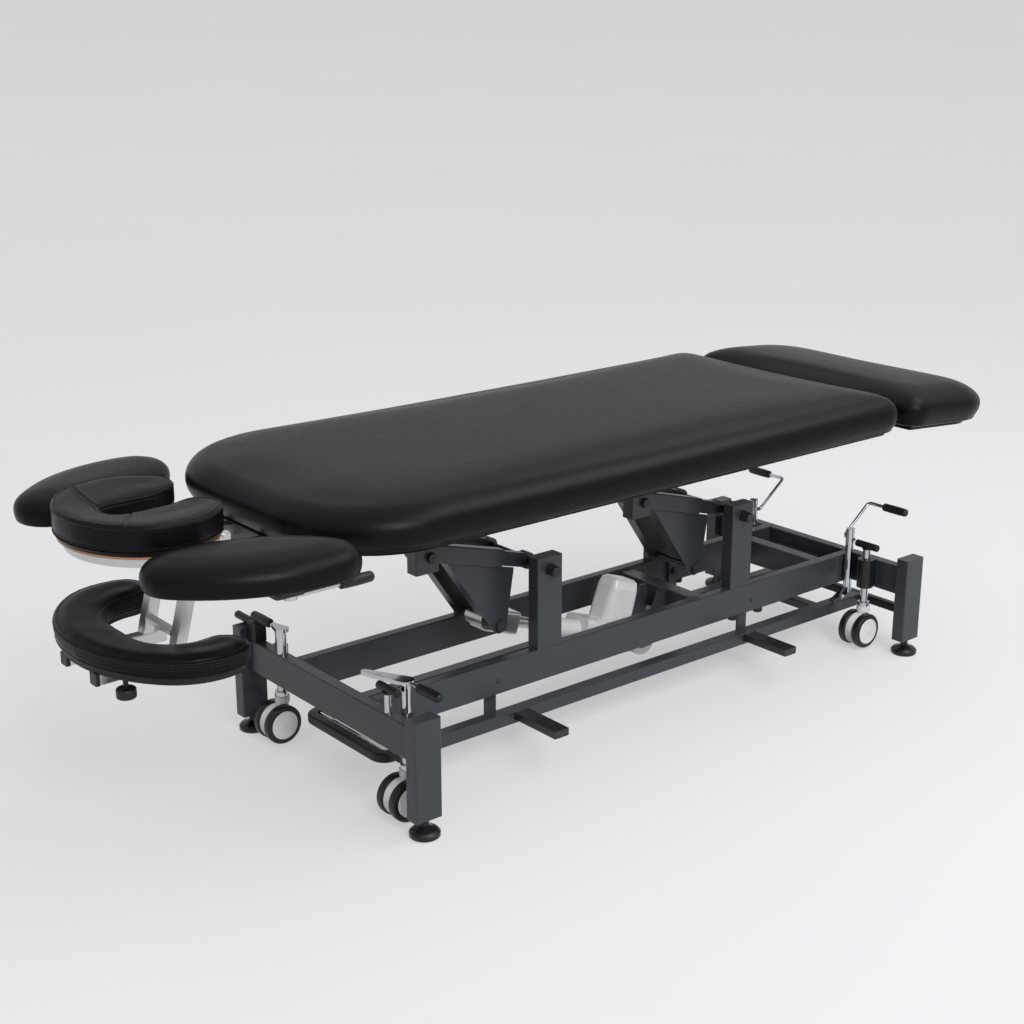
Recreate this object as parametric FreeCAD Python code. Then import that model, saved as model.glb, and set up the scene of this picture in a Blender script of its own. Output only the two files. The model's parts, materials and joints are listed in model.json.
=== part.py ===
import FreeCAD, Part
import math
import os

V = FreeCAD.Vector
os.makedirs("parts", exist_ok=True)

# Massage table. Millimetres, +Z up, head end at -X, foot end at +X.
# Lengths along X are first laid out from the middle of the base and moved at the end,
# so that the middle of the whole table stands over the origin.

# Base frame
BASE_L = 1580.0
BASE_W = 690.0
LEG_X = 64.0
LEG_Y = 34.0
LEG_TOP = 255.0
LEG_BOTTOM = 40.0
FOOT_R = 32.0
FOOT_H = 16.0
RAIL_H = 74.0
RAIL_Z = 154.0
RAIL_T = 26.0
RAIL_OUT = 152.5
CROSS_T = 28.0
POST_X = 70.0
POST_Y = 34.0
POST_FRONT = -281.0
POST_REAR = 328.6
EDGE_R = 3.0
WALL = 2.5

# Lift linkage
SHAFT_D = 20.0
PIVOT_Z = 408.0
ARM_REACH = 297.0
ARM_RISE = 82.0
ARM_Y = 66.0
ARM_W = 30.0
ARM_H = 40.0
V_PIN_X = -74.0
V_PIN_Z = -137.0
V_PIN_D = 16.0
V_T = 6.0
BOLT_D = 12.0
TAIL_X = 130.0
TAIL_Z = 100.0
TAIL_PIN_D = 14.0

# Clearances: running fits, faces that slide past each other, parts that pass by
FIT = 0.05
GAP = 0.3
PASS = 3.0

# Upholstered top
PAD_W = 760.0
PAD_HEAD = -974.0
PAD_FOOT = 654.0
PAD_GAP = 8.0
FOOT_PAD_L = 368.0
FOOT_DROP = 4.5
BOARD_Z = 598.0
BOARD_T = 9.0
PAD_H = 91.0
PAD_CROWN = 4.0
PAD_UNDER = 34.0
PAD_OVER = 64.0
BOARD_INSET = 46.0
HEAD_CORNER = 250.0
FOOT_CORNER = 34.0
END_CORNER = 140.0
TOP_TUBE = 40.0
FOOT_ARM_Y = 60.0
LUG_T = 10.0

# Face cradle
CRADLE_X = -1167.0
CRADLE_A = 157.0
CRADLE_B = 184.0
CRADLE_SIDE_R = 140.0
CRADLE_SLOT = 38.0
CRADLE_SLOT_R = 30.0
CRADLE_H = 57.0
RING_T = 12.0
PLATE_T = 19.0

# Arm shelf
SHELF_X = -1138.0
SHELF_A = 192.0
SHELF_B = 256.0
SHELF_SIDE_R = 150.0
SHELF_SLOT = 140.0
SHELF_SLOT_R = 95.0
SHELF_Z = 424.0
SHELF_H = 45.0
SHELF_BOARD_T = 12.0

# Side armrests
ARMREST_X = -1108.0
ARMREST_Y = 309.0
ARMREST_A = 202.0
ARMREST_B = 107.0
ARMREST_R = 78.0
ARMREST_TURN = 22.0
ARMREST_H = 58.0
ARMREST_UNDER = 18.0
ARMREST_OVER = 34.0

# Head tubes
TUBE = 25.0
TUBE_Y = 62.0
PIN_D = 10.0
KNUCKLE_D = 24.0
EAR_T = 13.0

# Casters and corner levers
WHEEL_D = 89.0
WHEEL_W = 20.0
WHEEL_GAP = 22.0
WHEEL_LIFT = 2.0
TRAIL = 14.0
STEM_D = 20.0
COLUMN_D = 22.0
CRANK_D = 9.0
GRIP_D = 18.0
GRIP_L = 64.0

# Foot control frame
BAR_Y = 150.0
BAR_W = 32.0
BAR_Z = 70.0
BAR_H = 30.0
PEDAL_L = 135.0

# Derived places on the base
HALF_L = BASE_L / 2.0
HALF_W = BASE_W / 2.0
RAIL_TOP = RAIL_Z + RAIL_H
RAIL_IN = RAIL_OUT - RAIL_T
LEG_MID_X = HALF_L - LEG_X / 2.0
RAIL_END = LEG_MID_X - CROSS_T / 2.0
POST_TOP = PIVOT_Z + 29.0
COLLAR_Z = WHEEL_LIFT + WHEEL_D + 16.0
FOOT_STEM_X = RAIL_END - 22.0
FOOT_STEM_Y = RAIL_OUT + 67.5
HEAD_STEM_X = RAIL_END - STEM_D / 2.0 - 1.0
HEAD_STEM_Y = HALF_W - 107.0
HEAD_POST_X = LEG_MID_X
HEAD_POST_Y = HEAD_STEM_Y - 50.0
HEAD_GRIP_X = LEG_MID_X + 2.0
HEAD_GRIP_Y = HEAD_STEM_Y - 24.0
LEVER_Z = RAIL_TOP + 52.0
COLUMN_X = RAIL_END - 24.0
COLUMN_Y = RAIL_OUT + COLUMN_D / 2.0 + 2.5
COLUMN_TOP = RAIL_TOP + 72.0
CRANK_Z = COLUMN_TOP - 25.0
BAR_TOP = BAR_Z + BAR_H
BAR_HEAD = -HALF_L + 100.0
FOOT_BAR_X = HALF_L + 10.0
STRUTS = (POST_FRONT - 146.0, POST_REAR + 41.0)

# Derived places on the top
PAD_Z = BOARD_Z + BOARD_T
FOOT_START = PAD_FOOT + PAD_GAP
FOOT_END = FOOT_START + FOOT_PAD_L
TOP_PIVOT_Z = PIVOT_Z + ARM_RISE
BLOCK_Y = ARM_Y + ARM_W / 2.0 + PASS
FRAME_Z = BOARD_Z - TOP_TUBE
FRAME_HEAD = PAD_HEAD + 35.0
FRAME_FOOT = PAD_FOOT - 20.0
FOOT_HINGE_X = PAD_FOOT + PAD_GAP / 2.0
FOOT_HINGE_Z = BOARD_Z - TUBE / 2.0
TUBE_TOP = BOARD_Z - 1.0
CRADLE_HINGE_X = CRADLE_X + 142.0
CRADLE_HINGE_Z = TUBE_TOP + 20.0
CRADLE_PLATE_Z = TUBE_TOP + 22.0
CRADLE_Z = CRADLE_PLATE_Z + PLATE_T + RING_T
CRADLE_SLOT_X = CRADLE_X - 36.0
CRADLE_TIP_X = CRADLE_X + 67.0
SHELF_SLOT_X = SHELF_X + 18.0
SHELF_TIP_X = SHELF_X + 20.0
ARM_HINGE_X = CRADLE_X + 79.5
ARM_HINGE_Y = CRADLE_B + 13.0
ARM_HINGE_Z = TUBE_TOP - 7.0
ARMREST_Z = ARM_HINGE_Z + 21.0


def box(x0, x1, y0, y1, z0, z1):
    return Part.makeBox(x1 - x0, y1 - y0, z1 - z0, V(x0, y0, z0))


def rod_x(d, x0, x1, y, z):
    return Part.makeCylinder(d / 2.0, x1 - x0, V(x0, y, z), V(1, 0, 0))


def rod_y(d, y0, y1, x, z):
    return Part.makeCylinder(d / 2.0, y1 - y0, V(x, y0, z), V(0, 1, 0))


def rod_z(d, z0, z1, x, y):
    return Part.makeCylinder(d / 2.0, z1 - z0, V(x, y, z0), V(0, 0, 1))


def along(shape, axis):
    """Edges of a box that run along one axis."""
    picked = []
    for edge in shape.Edges:
        run = edge.Vertexes[-1].Point.sub(edge.Vertexes[0].Point)
        if run.Length > 0 and abs(run.dot(axis)) > 0.999 * run.Length:
            picked.append(edge)
    return picked


def bar(x0, x1, y0, y1, z0, z1, axis, radius=EDGE_R):
    """Square bar with rounded long edges."""
    body = box(x0, x1, y0, y1, z0, z1)
    return body.makeFillet(radius, along(body, axis))


def tube(x0, x1, y0, y1, z0, z1, axis, radius=EDGE_R):
    """Square tube, open at both ends, with rounded long edges."""
    side = V(1, 1, 1).sub(axis).multiply(WALL)
    over = V(axis).multiply(1.0)
    low = V(x0, y0, z0).add(side).sub(over)
    high = V(x1, y1, z1).sub(side).add(over)
    hollow = box(low.x, high.x, low.y, high.y, low.z, high.z)
    return bar(x0, x1, y0, y1, z0, z1, axis, radius).cut(hollow)


def mirror_y(shape):
    return shape.mirror(V(0, 0, 0), V(0, 1, 0))


def mirror_x(shape):
    return shape.mirror(V(0, 0, 0), V(1, 0, 0))


def both_sides(shapes):
    return list(shapes) + [mirror_y(s) for s in shapes]


def arc(centre, radius, start, end):
    """Arc in the XY plane from one angle to another, in degrees."""
    points = []
    for turn in (start, 0.5 * (start + end), end):
        a = math.radians(turn)
        points.append(V(centre[0] + radius * math.cos(a), centre[1] + radius * math.sin(a), 0))
    return Part.Arc(points[0], points[1], points[2]).toShape()


def line(p, q):
    return Part.LineSegment(V(p[0], p[1], 0), V(q[0], q[1], 0)).toShape()


def at_height(edges, z):
    wire = Part.Wire(edges)
    wire.translate(V(0, 0, z))
    return wire


def rounded_outline(x0, x1, half, r0, r1, inset):
    """Plan of a pad: r0 rounds the corners at x0, r1 those at x1."""
    a = max(r0 - inset, 4.0)
    b = max(r1 - inset, 4.0)
    x0 = x0 + inset
    x1 = x1 - inset
    h = half - inset
    edges = [line((x0 + a, -h), (x1 - b, -h)), arc((x1 - b, -h + b), b, -90, 0)]
    edges += [line((x1, -h + b), (x1, h - b)), arc((x1 - b, h - b), b, 0, 90)]
    edges += [line((x1 - b, h), (x0 + a, h)), arc((x0 + a, h - a), a, 90, 180)]
    edges += [line((x0, h - a), (x0, -h + a)), arc((x0 + a, -h + a), a, 180, 270)]
    return edges


def oval_outline(a, b, r, inset):
    """Four-arc oval, long along X, round its own middle."""
    big = ((a - r) ** 2 + b * b - r * r) / (2.0 * (b - r))
    turn = math.degrees(math.atan2(big - b, a - r))
    edges = [arc((a - r, 0), r - inset, -turn, turn)]
    edges += [arc((0, b - big), big - inset, turn, 180 - turn)]
    edges += [arc((r - a, 0), r - inset, 180 - turn, 180 + turn)]
    edges += [arc((0, big - b), big - inset, 180 + turn, 360 - turn)]
    return edges


def horseshoe_outline(cx, a, b, side_r, slot, slot_r, slot_x, tip_x, inset):
    """Oval ring open towards +X, with round tips and a round-cornered slot."""
    head_r = (a * a + (b - side_r) ** 2 - side_r * side_r) / (2.0 * (a - side_r))
    head_c = cx + head_r - a
    side_c = b - side_r
    rise = slot - side_c
    tip_r = (side_r ** 2 - (tip_x - cx) ** 2 - rise ** 2) / (2.0 * rise + 2.0 * side_r)
    tip_c = slot + tip_r
    join = math.degrees(math.atan2(side_c, cx - head_c))
    leave = math.degrees(math.atan2(tip_c - side_c, tip_x - cx))
    wide = slot + inset
    mid = slot - slot_r
    end = slot_x - slot_r - inset
    upper = [arc((cx, side_c), side_r - inset, join, leave)]
    upper += [arc((tip_x, tip_c), tip_r - inset, leave, -90)]
    upper += [line((tip_x, wide), (slot_x, wide))]
    upper += [arc((slot_x, mid), slot_r + inset, 90, 180)]
    lower = [arc((slot_x, -mid), slot_r + inset, 180, 270)]
    lower += [line((slot_x, -wide), (tip_x, -wide))]
    lower += [arc((tip_x, -tip_c), tip_r - inset, 90, -leave)]
    lower += [arc((cx, -side_c), side_r - inset, -leave, -join)]
    head = arc((head_c, 0), head_r - inset, 360 - join, join)
    return upper + [line((end, mid), (end, -mid))] + lower + [head]


def cushion(outline, levels):
    """Skin through the plan at each (inset, height): drawn-in sides, soft edge, crown."""
    wires = [at_height(outline(inset), z) for inset, z in levels]
    return Part.makeLoft(wires, True, True)


def slab(outline, inset, z0, z1):
    face = Part.Face(at_height(outline(inset), z0))
    return face.extrude(V(0, 0, z1 - z0))


def soft_levels(z0, height, under, over, crown):
    """Profile of an upholstered block: skin drawn in under the board, round edge, crowned top."""
    wide = z0 + 0.46 * height
    top = z0 + height
    levels = []
    for turn in (90, 65, 40, 18):
        a = math.radians(turn)
        levels.append((under * (1 - math.cos(a)), wide - (wide - z0) * math.sin(a)))
    for turn in (0, 18, 36, 54, 72):
        a = math.radians(turn)
        levels.append((over * (1 - math.cos(a)), wide + (top - wide) * math.sin(a)))
    levels += [(1.05 * over, top + 0.3 * crown), (1.85 * over, top + crown)]
    return levels


def sewn_levels(z0, height, crown, width):
    """Profile of a boxed cushion: straight sewn wall, seam edge, crowned top panel."""
    top = z0 + height
    levels = [(5.0, z0), (1.0, z0 + 6.0), (0.0, z0 + 0.35 * height), (0.6, z0 + 0.70 * height)]
    levels += [(3.5, top - 3.0), (8.0, top), (0.17 * width, top + 0.7 * crown)]
    levels += [(0.30 * width, top + crown)]
    return levels


# Shift that puts the middle of the table over the origin
def foot_reach():
    """Farthest point of the foot cushion, which hangs a little below level."""
    turn = math.radians(FOOT_DROP)
    ends = []
    for inset, z in soft_levels(PAD_Z, PAD_H, PAD_UNDER, PAD_OVER, PAD_CROWN):
        ends.append((FOOT_END - inset - FOOT_HINGE_X) * math.cos(turn) + (z - FOOT_HINGE_Z) * math.sin(turn))
    return FOOT_HINGE_X + max(ends)


SHIFT = -0.5 * (SHELF_X - SHELF_A + foot_reach())


def export(name, shapes):
    moved = [s.translated(V(SHIFT, 0, 0)) for s in shapes]
    shape = moved[0] if len(moved) == 1 else Part.makeCompound(moved)
    shape.exportStep("parts/" + name + ".step")


# Base frame
def base_frame():
    up = V(0, 0, 1)
    leg = bar(HALF_L - LEG_X, HALF_L, HALF_W - LEG_Y, HALF_W, LEG_BOTTOM, LEG_TOP, up)
    room = box(HALF_L - LEG_X + WALL, HALF_L - WALL, HALF_W - LEG_Y + WALL, HALF_W - WALL, 0, LEG_TOP - WALL)
    leg = leg.cut(room)
    export("corner_legs", both_sides([leg, mirror_x(leg)]))

    profile = [V(0, 0, 0), V(FOOT_R - 3, 0, 0), V(FOOT_R, 0, 3), V(FOOT_R, 0, FOOT_H - 5)]
    profile += [V(FOOT_R - 5, 0, FOOT_H), V(15, 0, FOOT_H + 4), V(9, 0, FOOT_H + 7)]
    profile += [V(9, 0, LEG_BOTTOM + 4), V(0, 0, LEG_BOTTOM + 4), V(0, 0, 0)]
    foot = Part.Face(Part.makePolygon(profile)).revolve(V(0, 0, 0), up, 360)
    in_x = LEG_X / 2.0 - WALL
    in_y = LEG_Y / 2.0 - WALL
    foot = foot.fuse(box(-in_x, in_x, -in_y, in_y, LEG_BOTTOM, LEG_BOTTOM + 16)).removeSplitter()
    leg_y = HALF_W - LEG_Y / 2.0
    feet = [foot.translated(V(sx * LEG_MID_X, sy * leg_y, 0)) for sx in (-1, 1) for sy in (-1, 1)]
    export("levelling_feet", feet)

    inner = HALF_W - LEG_Y
    cross = tube(RAIL_END, RAIL_END + CROSS_T, -inner, inner, RAIL_Z, RAIL_TOP, V(0, 1, 0))
    export("foot_cross_rail", [cross])
    export("head_cross_rail", [mirror_x(cross)])

    rail = tube(-RAIL_END, RAIL_END, RAIL_IN, RAIL_OUT, RAIL_Z, RAIL_TOP, V(1, 0, 0))
    export("side_rails", both_sides([rail]))


def pivot_posts():
    posts = []
    shafts = []
    for x in (POST_FRONT, POST_REAR):
        x0 = x - POST_X / 2.0
        x1 = x + POST_X / 2.0
        post = bar(x0, x1, RAIL_OUT - POST_Y, RAIL_OUT, RAIL_TOP, POST_TOP, V(0, 0, 1))
        room = box(x0 + WALL, x1 - WALL, RAIL_OUT - POST_Y + WALL, RAIL_OUT - WALL, 0, POST_TOP - WALL)
        post = post.cut(room)
        posts.append(post.cut(rod_y(SHAFT_D, 0, HALF_W, x, PIVOT_Z)))
        shaft = rod_y(SHAFT_D, -RAIL_OUT, RAIL_OUT, x, PIVOT_Z)
        cap = rod_y(SHAFT_D + 8, RAIL_OUT, RAIL_OUT + 6, x, PIVOT_Z)
        nut = rod_y(SHAFT_D + 4, RAIL_OUT + 6, RAIL_OUT + 24, x, PIVOT_Z)
        nut = nut.makeFillet(2.5, [e for e in nut.Edges if e.Closed and e.CenterOfMass.y > RAIL_OUT + 20])
        end = cap.fuse(nut)
        shafts.append(shaft.fuse([end, mirror_y(end)]).removeSplitter())
    export("pivot_posts", both_sides(posts))
    export("lift_shafts", shafts)


def base_fittings():
    low = RAIL_Z + 6
    high = RAIL_TOP - 6
    tail_tube = TAIL_X + 60.0
    rear_tube = RAIL_END - 118.0
    mid = tube(tail_tube, tail_tube + 40, -RAIL_IN, RAIL_IN, low, high, V(0, 1, 0))
    rear = tube(rear_tube, rear_tube + 36, -RAIL_IN, RAIL_IN, low, high, V(0, 1, 0))
    export("base_cross_tubes", [mid, rear])

    lugs = []
    for y in (24 + PASS, -32 - PASS):
        corners = [V(tail_tube, y, high - 4), V(tail_tube, y, low + 2), V(TAIL_X + 14, y, TAIL_Z - 14)]
        corners += [V(TAIL_X - 14, y, TAIL_Z - 10), V(TAIL_X - 14, y, TAIL_Z + 14)]
        corners += [V(tail_tube - 20, y, high - 4)]
        plate = Part.Face(Part.makePolygon(corners + corners[:1])).extrude(V(0, 8, 0))
        lugs.append(plate.cut(rod_y(TAIL_PIN_D, -60, 60, TAIL_X, TAIL_Z)))
    pin = rod_y(TAIL_PIN_D, -38 - PASS, 38 + PASS, TAIL_X, TAIL_Z)
    export("actuator_bracket", lugs + [pin])

    case = bar(rear_tube + 42, RAIL_END - 6, -70, 70, RAIL_Z - 2, RAIL_Z + 48, V(0, 1, 0), 8.0)
    ear = box(rear_tube + 36, rear_tube + 42, -40, 40, RAIL_Z + 10, RAIL_Z + 40)
    export("control_box", [case.fuse(ear).removeSplitter()])

    buffers = []
    for x in (POST_REAR - 10.0, POST_REAR + 80.0):
        buffer = rod_z(24.0, RAIL_Z - 12, RAIL_Z, x, RAIL_OUT - RAIL_T / 2.0)
        rim = [e for e in buffer.Edges if e.Closed and e.CenterOfMass.z < RAIL_Z - 6]
        buffers.append(buffer.makeFillet(3.0, rim))
    export("rubber_buffers", both_sides(buffers))

    screws = []
    for x in STRUTS:
        screw = rod_y(8.0, RAIL_IN - 14, RAIL_IN, x, RAIL_Z + 30)
        head = rod_y(16.0, RAIL_IN - 18, RAIL_IN - 14, x, RAIL_Z + 30)
        outer = Part.makeSphere(6.0, V(x, RAIL_OUT - 2, RAIL_Z + 30)).common(
            box(x - 8, x + 8, RAIL_OUT, RAIL_OUT + 8, RAIL_Z + 20, RAIL_Z + 40))
        screws.append([screw.fuse(head).removeSplitter(), outer])
    near_front = [mirror_y(s) for s in screws[0]]
    export("guide_screws", near_front + both_sides(screws[1]))


# Casters and the levers beside them
def caster_mounts():
    low = RAIL_Z + 4
    high = RAIL_TOP + 4
    body = rod_z(42.0, low, high, FOOT_STEM_X, FOOT_STEM_Y)
    web = box(FOOT_STEM_X, RAIL_END, FOOT_STEM_Y - 15, FOOT_STEM_Y + 15, low + 4, high - 8)
    socket = body.fuse(web).removeSplitter()
    socket = socket.cut(rod_z(STEM_D, 0, 400, FOOT_STEM_X, FOOT_STEM_Y))
    clip = box(COLUMN_X - 9, COLUMN_X + 9, RAIL_OUT, COLUMN_Y, low + 12, low + 52)
    clip = clip.cut(rod_z(COLUMN_D + 2 * FIT, 0, 400, COLUMN_X, COLUMN_Y))
    sleeve = rod_z(36.0, low, RAIL_TOP - 2, -HEAD_STEM_X, HEAD_STEM_Y)
    sleeve = sleeve.common(box(-RAIL_END, 0, 0, HALF_W, 0, LEG_TOP))
    sleeve = sleeve.cut(rod_z(STEM_D, 0, 400, -HEAD_STEM_X, HEAD_STEM_Y))
    export("caster_sockets", both_sides([socket, clip, sleeve]))

    top = high + 26
    foot_stem = stem(FOOT_STEM_X, FOOT_STEM_Y, top)
    lever_stem = stem(-HEAD_STEM_X, -HEAD_STEM_Y, LEVER_Z + 12)
    plain_stem = stem(-HEAD_STEM_X, HEAD_STEM_Y, LEVER_Z - 12)
    grip_post = rod_z(16.0, RAIL_TOP, LEVER_Z - 10, -HEAD_GRIP_X, -HEAD_GRIP_Y)
    lever_post = rod_z(22.0, RAIL_TOP, LEVER_Z, -HEAD_POST_X, HEAD_POST_Y)
    foot_z = RAIL_Z - 24.0
    column = rod_z(COLUMN_D, foot_z, COLUMN_TOP, COLUMN_X, COLUMN_Y)
    side = COLUMN_Y - 8.0
    bend = [V(COLUMN_X, side, foot_z + 20), V(COLUMN_X, side, foot_z + 2)]
    bend += [V(COLUMN_X - 44, side, foot_z - 20), V(COLUMN_X - 58, side, foot_z - 18)]
    bend += [V(COLUMN_X - 58, side, foot_z - 9), V(COLUMN_X - 46, side, foot_z - 7)]
    hook = Part.Face(Part.makePolygon(bend + bend[:1])).extrude(V(0, 16, 0))
    column = column.fuse(hook).removeSplitter()
    column = column.cut(rod_y(CRANK_D + 2 * FIT, 0, 400, COLUMN_X, CRANK_Z))
    head = [lever_stem, plain_stem, grip_post, lever_post]
    export("corner_columns", both_sides([foot_stem, column]) + head)

    grip = lock_grip(FOOT_STEM_X, FOOT_STEM_Y, top, -GRIP_L / 2.0 - 2)
    head_grip = lock_grip(-HEAD_GRIP_X, -HEAD_GRIP_Y, LEVER_Z - 10, -GRIP_L / 2.0 - 4)
    end = HALF_W - LEG_Y
    block = bar(-RAIL_END - CROSS_T, -RAIL_END, end - 36, end, RAIL_TOP, LEG_TOP + 17, V(0, 1, 0))
    knob = handle_grip(V(-LEG_MID_X, end, LEG_TOP + 10), V(0, 1, 0), GRIP_L, GRIP_D)
    export("wheel_lock_grips", both_sides([grip]) + [head_grip, block, knob])


def stem(x, y, top):
    """Chromed caster stem with a collar under the socket."""
    body = rod_z(STEM_D, COLLAR_Z, top, x, y)
    collar = rod_z(30.0, COLLAR_Z, COLLAR_Z + 10, x, y)
    return body.fuse(collar).removeSplitter()


def lock_grip(x, y, z, start):
    grip = rod_y(GRIP_D, y + start, y + start + GRIP_L + 4, x, z + GRIP_D / 2)
    grip = grip.makeFillet(3.0, [e for e in grip.Edges if e.Closed])
    seat = rod_z(24.0, z, z + 4, x, y)
    return grip.fuse(seat).removeSplitter()


def caster(name, x, y):
    """Twin-wheel caster: white hood on the stem, two tyred wheels on one axle."""
    r = WHEEL_D / 2.0
    cx = x - TRAIL
    cz = WHEEL_LIFT + r
    half = WHEEL_GAP / 2.0
    hood = rod_y(WHEEL_D - 8, -half + 1.0, half - 1.0, cx, cz).translated(V(0, y, 0))
    neck = rod_z(28.0, cz, COLLAR_Z - GAP, x, y)
    neck = neck.common(box(x - 30, x + 30, y - half + 1.0, y + half - 1.0, 0, COLLAR_Z - 6))
    collar = rod_z(34.0, cz + r + 1, COLLAR_Z - GAP, x, y)
    hood = hood.fuse([neck, collar]).removeSplitter()
    hood = hood.cut(rod_y(12.0 + 2 * FIT, -60, 60, cx, cz).translated(V(0, y, 0)))
    export("caster_hood_" + name, [hood])

    parts = []
    for side in (-1, 1):
        y0 = half if side > 0 else -half - WHEEL_W
        tyre = rod_y(WHEEL_D, y0, y0 + WHEEL_W, cx, cz)
        tyre = tyre.makeFillet(5.0, [e for e in tyre.Edges if e.Closed])
        core = rod_y(WHEEL_D - 24, y0, y0 + WHEEL_W, cx, cz)
        hub = core.makeFillet(2.0, [e for e in core.Edges if e.Closed])
        parts += [tyre.cut(core).translated(V(0, y, 0)), hub.translated(V(0, y, 0))]
    axle = rod_y(12.0, -half, half, cx, cz).translated(V(0, y, 0))
    export("caster_wheels_" + name, parts + [axle])


def bent_rod(points, d, bend):
    """Round rod through points with one arc radius at every bend."""
    edges = []
    start = points[0]
    for before, here, after in zip(points, points[1:], points[2:]):
        a = before.sub(here).normalize()
        b = after.sub(here).normalize()
        turn = math.acos(max(-1.0, min(1.0, a.dot(b))))
        cut = bend / math.tan(turn / 2.0)
        p = here.add(V(a).multiply(cut))
        q = here.add(V(b).multiply(cut))
        m = V(a).add(b).normalize()
        mid = here.add(m.multiply(bend / math.sin(turn / 2.0) - bend))
        edges += [Part.LineSegment(start, p).toShape(), Part.Arc(p, mid, q).toShape()]
        start = q
    edges.append(Part.LineSegment(start, points[-1]).toShape())
    path = Part.Wire(edges)
    heading = points[1].sub(points[0]).normalize()
    ring = Part.Wire([Part.Circle(points[0], heading, d / 2.0).toShape()])
    return path.makePipeShell([ring], True, False)


def handle_grip(p, heading, length, d):
    grip = Part.makeCylinder(d / 2.0, length, p, heading)
    return grip.makeFillet(3.0, [e for e in grip.Edges if e.Closed])


def corner_levers():
    # Foot end: bent cranks that turn in the tall columns
    z = CRANK_Z
    points = [V(COLUMN_X, -COLUMN_Y - 15, z), V(COLUMN_X, -COLUMN_Y + 20, z)]
    points += [V(COLUMN_X + 92, -COLUMN_Y + 20, z + 71), V(COLUMN_X + 92, -COLUMN_Y - 31, z + 71)]
    crank = bent_rod(points, CRANK_D, 10.0)
    grip = handle_grip(points[-1], V(0, -1, 0), GRIP_L, GRIP_D)
    export("crank_foot_near", [crank, grip])
    export("crank_foot_far", [mirror_y(crank), mirror_y(grip)])

    # Head end: flat drop-shaped lever heads, one on the near stem, one on the far post
    near = lever_head(96.0, 8.0, 113)
    for s in near:
        s.translate(V(-HEAD_STEM_X, -HEAD_STEM_Y, LEVER_Z + 12 + GAP))
    export("lever_head_near", near)
    far = [mirror_y(s) for s in lever_head(34.0, 6.0, -90)]
    for s in far:
        s.translate(V(-HEAD_POST_X, HEAD_POST_Y, LEVER_Z + GAP))
    export("lever_head_far", far)


def lever_head(reach, point, heading):
    """Drop-shaped plate over the post, with a rod and grip pointing out."""
    wide = 17.0
    lean = math.degrees(math.asin((wide - point) / reach))
    edges = [arc((0, 0), wide, 90 + lean, 180), arc((0, 0), wide, 180, 270 - lean)]
    a = math.radians(270 - lean)
    b = math.radians(90 + lean)
    edges += [line((wide * math.cos(a), wide * math.sin(a)), (reach + point * math.cos(a), point * math.sin(a)))]
    edges += [arc((reach, 0), point, -90 - lean, 0), arc((reach, 0), point, 0, 90 + lean)]
    edges += [line((reach + point * math.cos(b), point * math.sin(b)), (wide * math.cos(b), wide * math.sin(b)))]
    plate = Part.Face(Part.Wire(edges)).extrude(V(0, 0, 8))
    plate.rotate(V(0, 0, 0), V(0, 0, 1), heading)
    rod = Part.makeCylinder(4.0, 36.0, V(0, -10, 4), V(0, -1, 0))
    lever = plate.fuse(rod).removeSplitter()
    grip = handle_grip(V(0, -46, 4), V(0, -1, 0), GRIP_L, GRIP_D)
    return [lever, grip]


# Foot control frame
def foot_control():
    long_bar = tube(BAR_HEAD, FOOT_BAR_X, BAR_Y - BAR_W, BAR_Y, BAR_Z, BAR_TOP, V(1, 0, 0))
    struts = []
    for x in STRUTS:
        strut = box(x - 14, x + 14, RAIL_IN - 8 - GAP, RAIL_IN - GAP, BAR_TOP, RAIL_Z + 58)
        slot = box(x - 4.6, x + 4.6, RAIL_IN - 20, RAIL_IN + 20, RAIL_Z + 24, RAIL_Z + 42)
        struts.append(strut.cut(slot))
    struts = [mirror_y(struts[0])] + both_sides([struts[1]])
    gap = BAR_Y - BAR_W
    cross_x = RAIL_END - 104.0
    cross = tube(cross_x, cross_x + 28, -gap, gap, BAR_Z + 4, BAR_TOP - 4, V(0, 1, 0))
    export("control_bars", both_sides([long_bar]) + struts + [cross])

    pedals = []
    for x in (POST_FRONT - 79.0, POST_REAR + 42.0):
        plate = bar(x - 20, x + 20, -BAR_Y - PEDAL_L, -BAR_Y, BAR_TOP - 20, BAR_TOP - 2, V(0, 1, 0), 2.0)
        for k in range(-2, 3):
            groove = box(x + 7 * k - 1.5, x + 7 * k + 1.5, -BAR_Y - PEDAL_L - 1, -BAR_Y - 6,
                         BAR_TOP - 4, BAR_TOP + 2)
            plate = plate.cut(groove)
        pedals.append(plate)
    export("pedal_arms", pedals)

    y = BAR_Y - BAR_W / 2.0 + 5.0
    r = 24.0
    out = BAR_HEAD - 36.0
    z = BAR_TOP - 12.0
    centre = [line((BAR_HEAD, y), (out + r, y)), arc((out + r, y - r), r, 90, 180)]
    centre += [line((out, y - r), (out, r - y)), arc((out + r, r - y), r, 180, 270)]
    centre += [line((out + r, -y), (BAR_HEAD, -y))]
    path = at_height(centre, z)
    section = Part.Wire(rounded_outline(-11, 11, 12, 5, 5, 0))
    section.rotate(V(0, 0, 0), V(0, 1, 0), 90)
    section.translate(V(BAR_HEAD, y, z))
    head_bar = path.makePipeShell([section], True, False)
    reach = FOOT_STEM_Y + 45.0
    foot_bar = bar(FOOT_BAR_X, FOOT_BAR_X + 22, -reach, reach, BAR_TOP - 22, BAR_TOP, V(0, 1, 0), 5.0)
    export("end_foot_bars", [head_bar, foot_bar])

    end = y - 15.2 - GAP
    rod = rod_y(12.0, -end, end, BAR_HEAD - 14, z + 2)
    export("head_bar_rod", [rod])


# Lift linkage
def arm_turn():
    return math.degrees(math.atan2(ARM_RISE, ARM_REACH))


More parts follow.
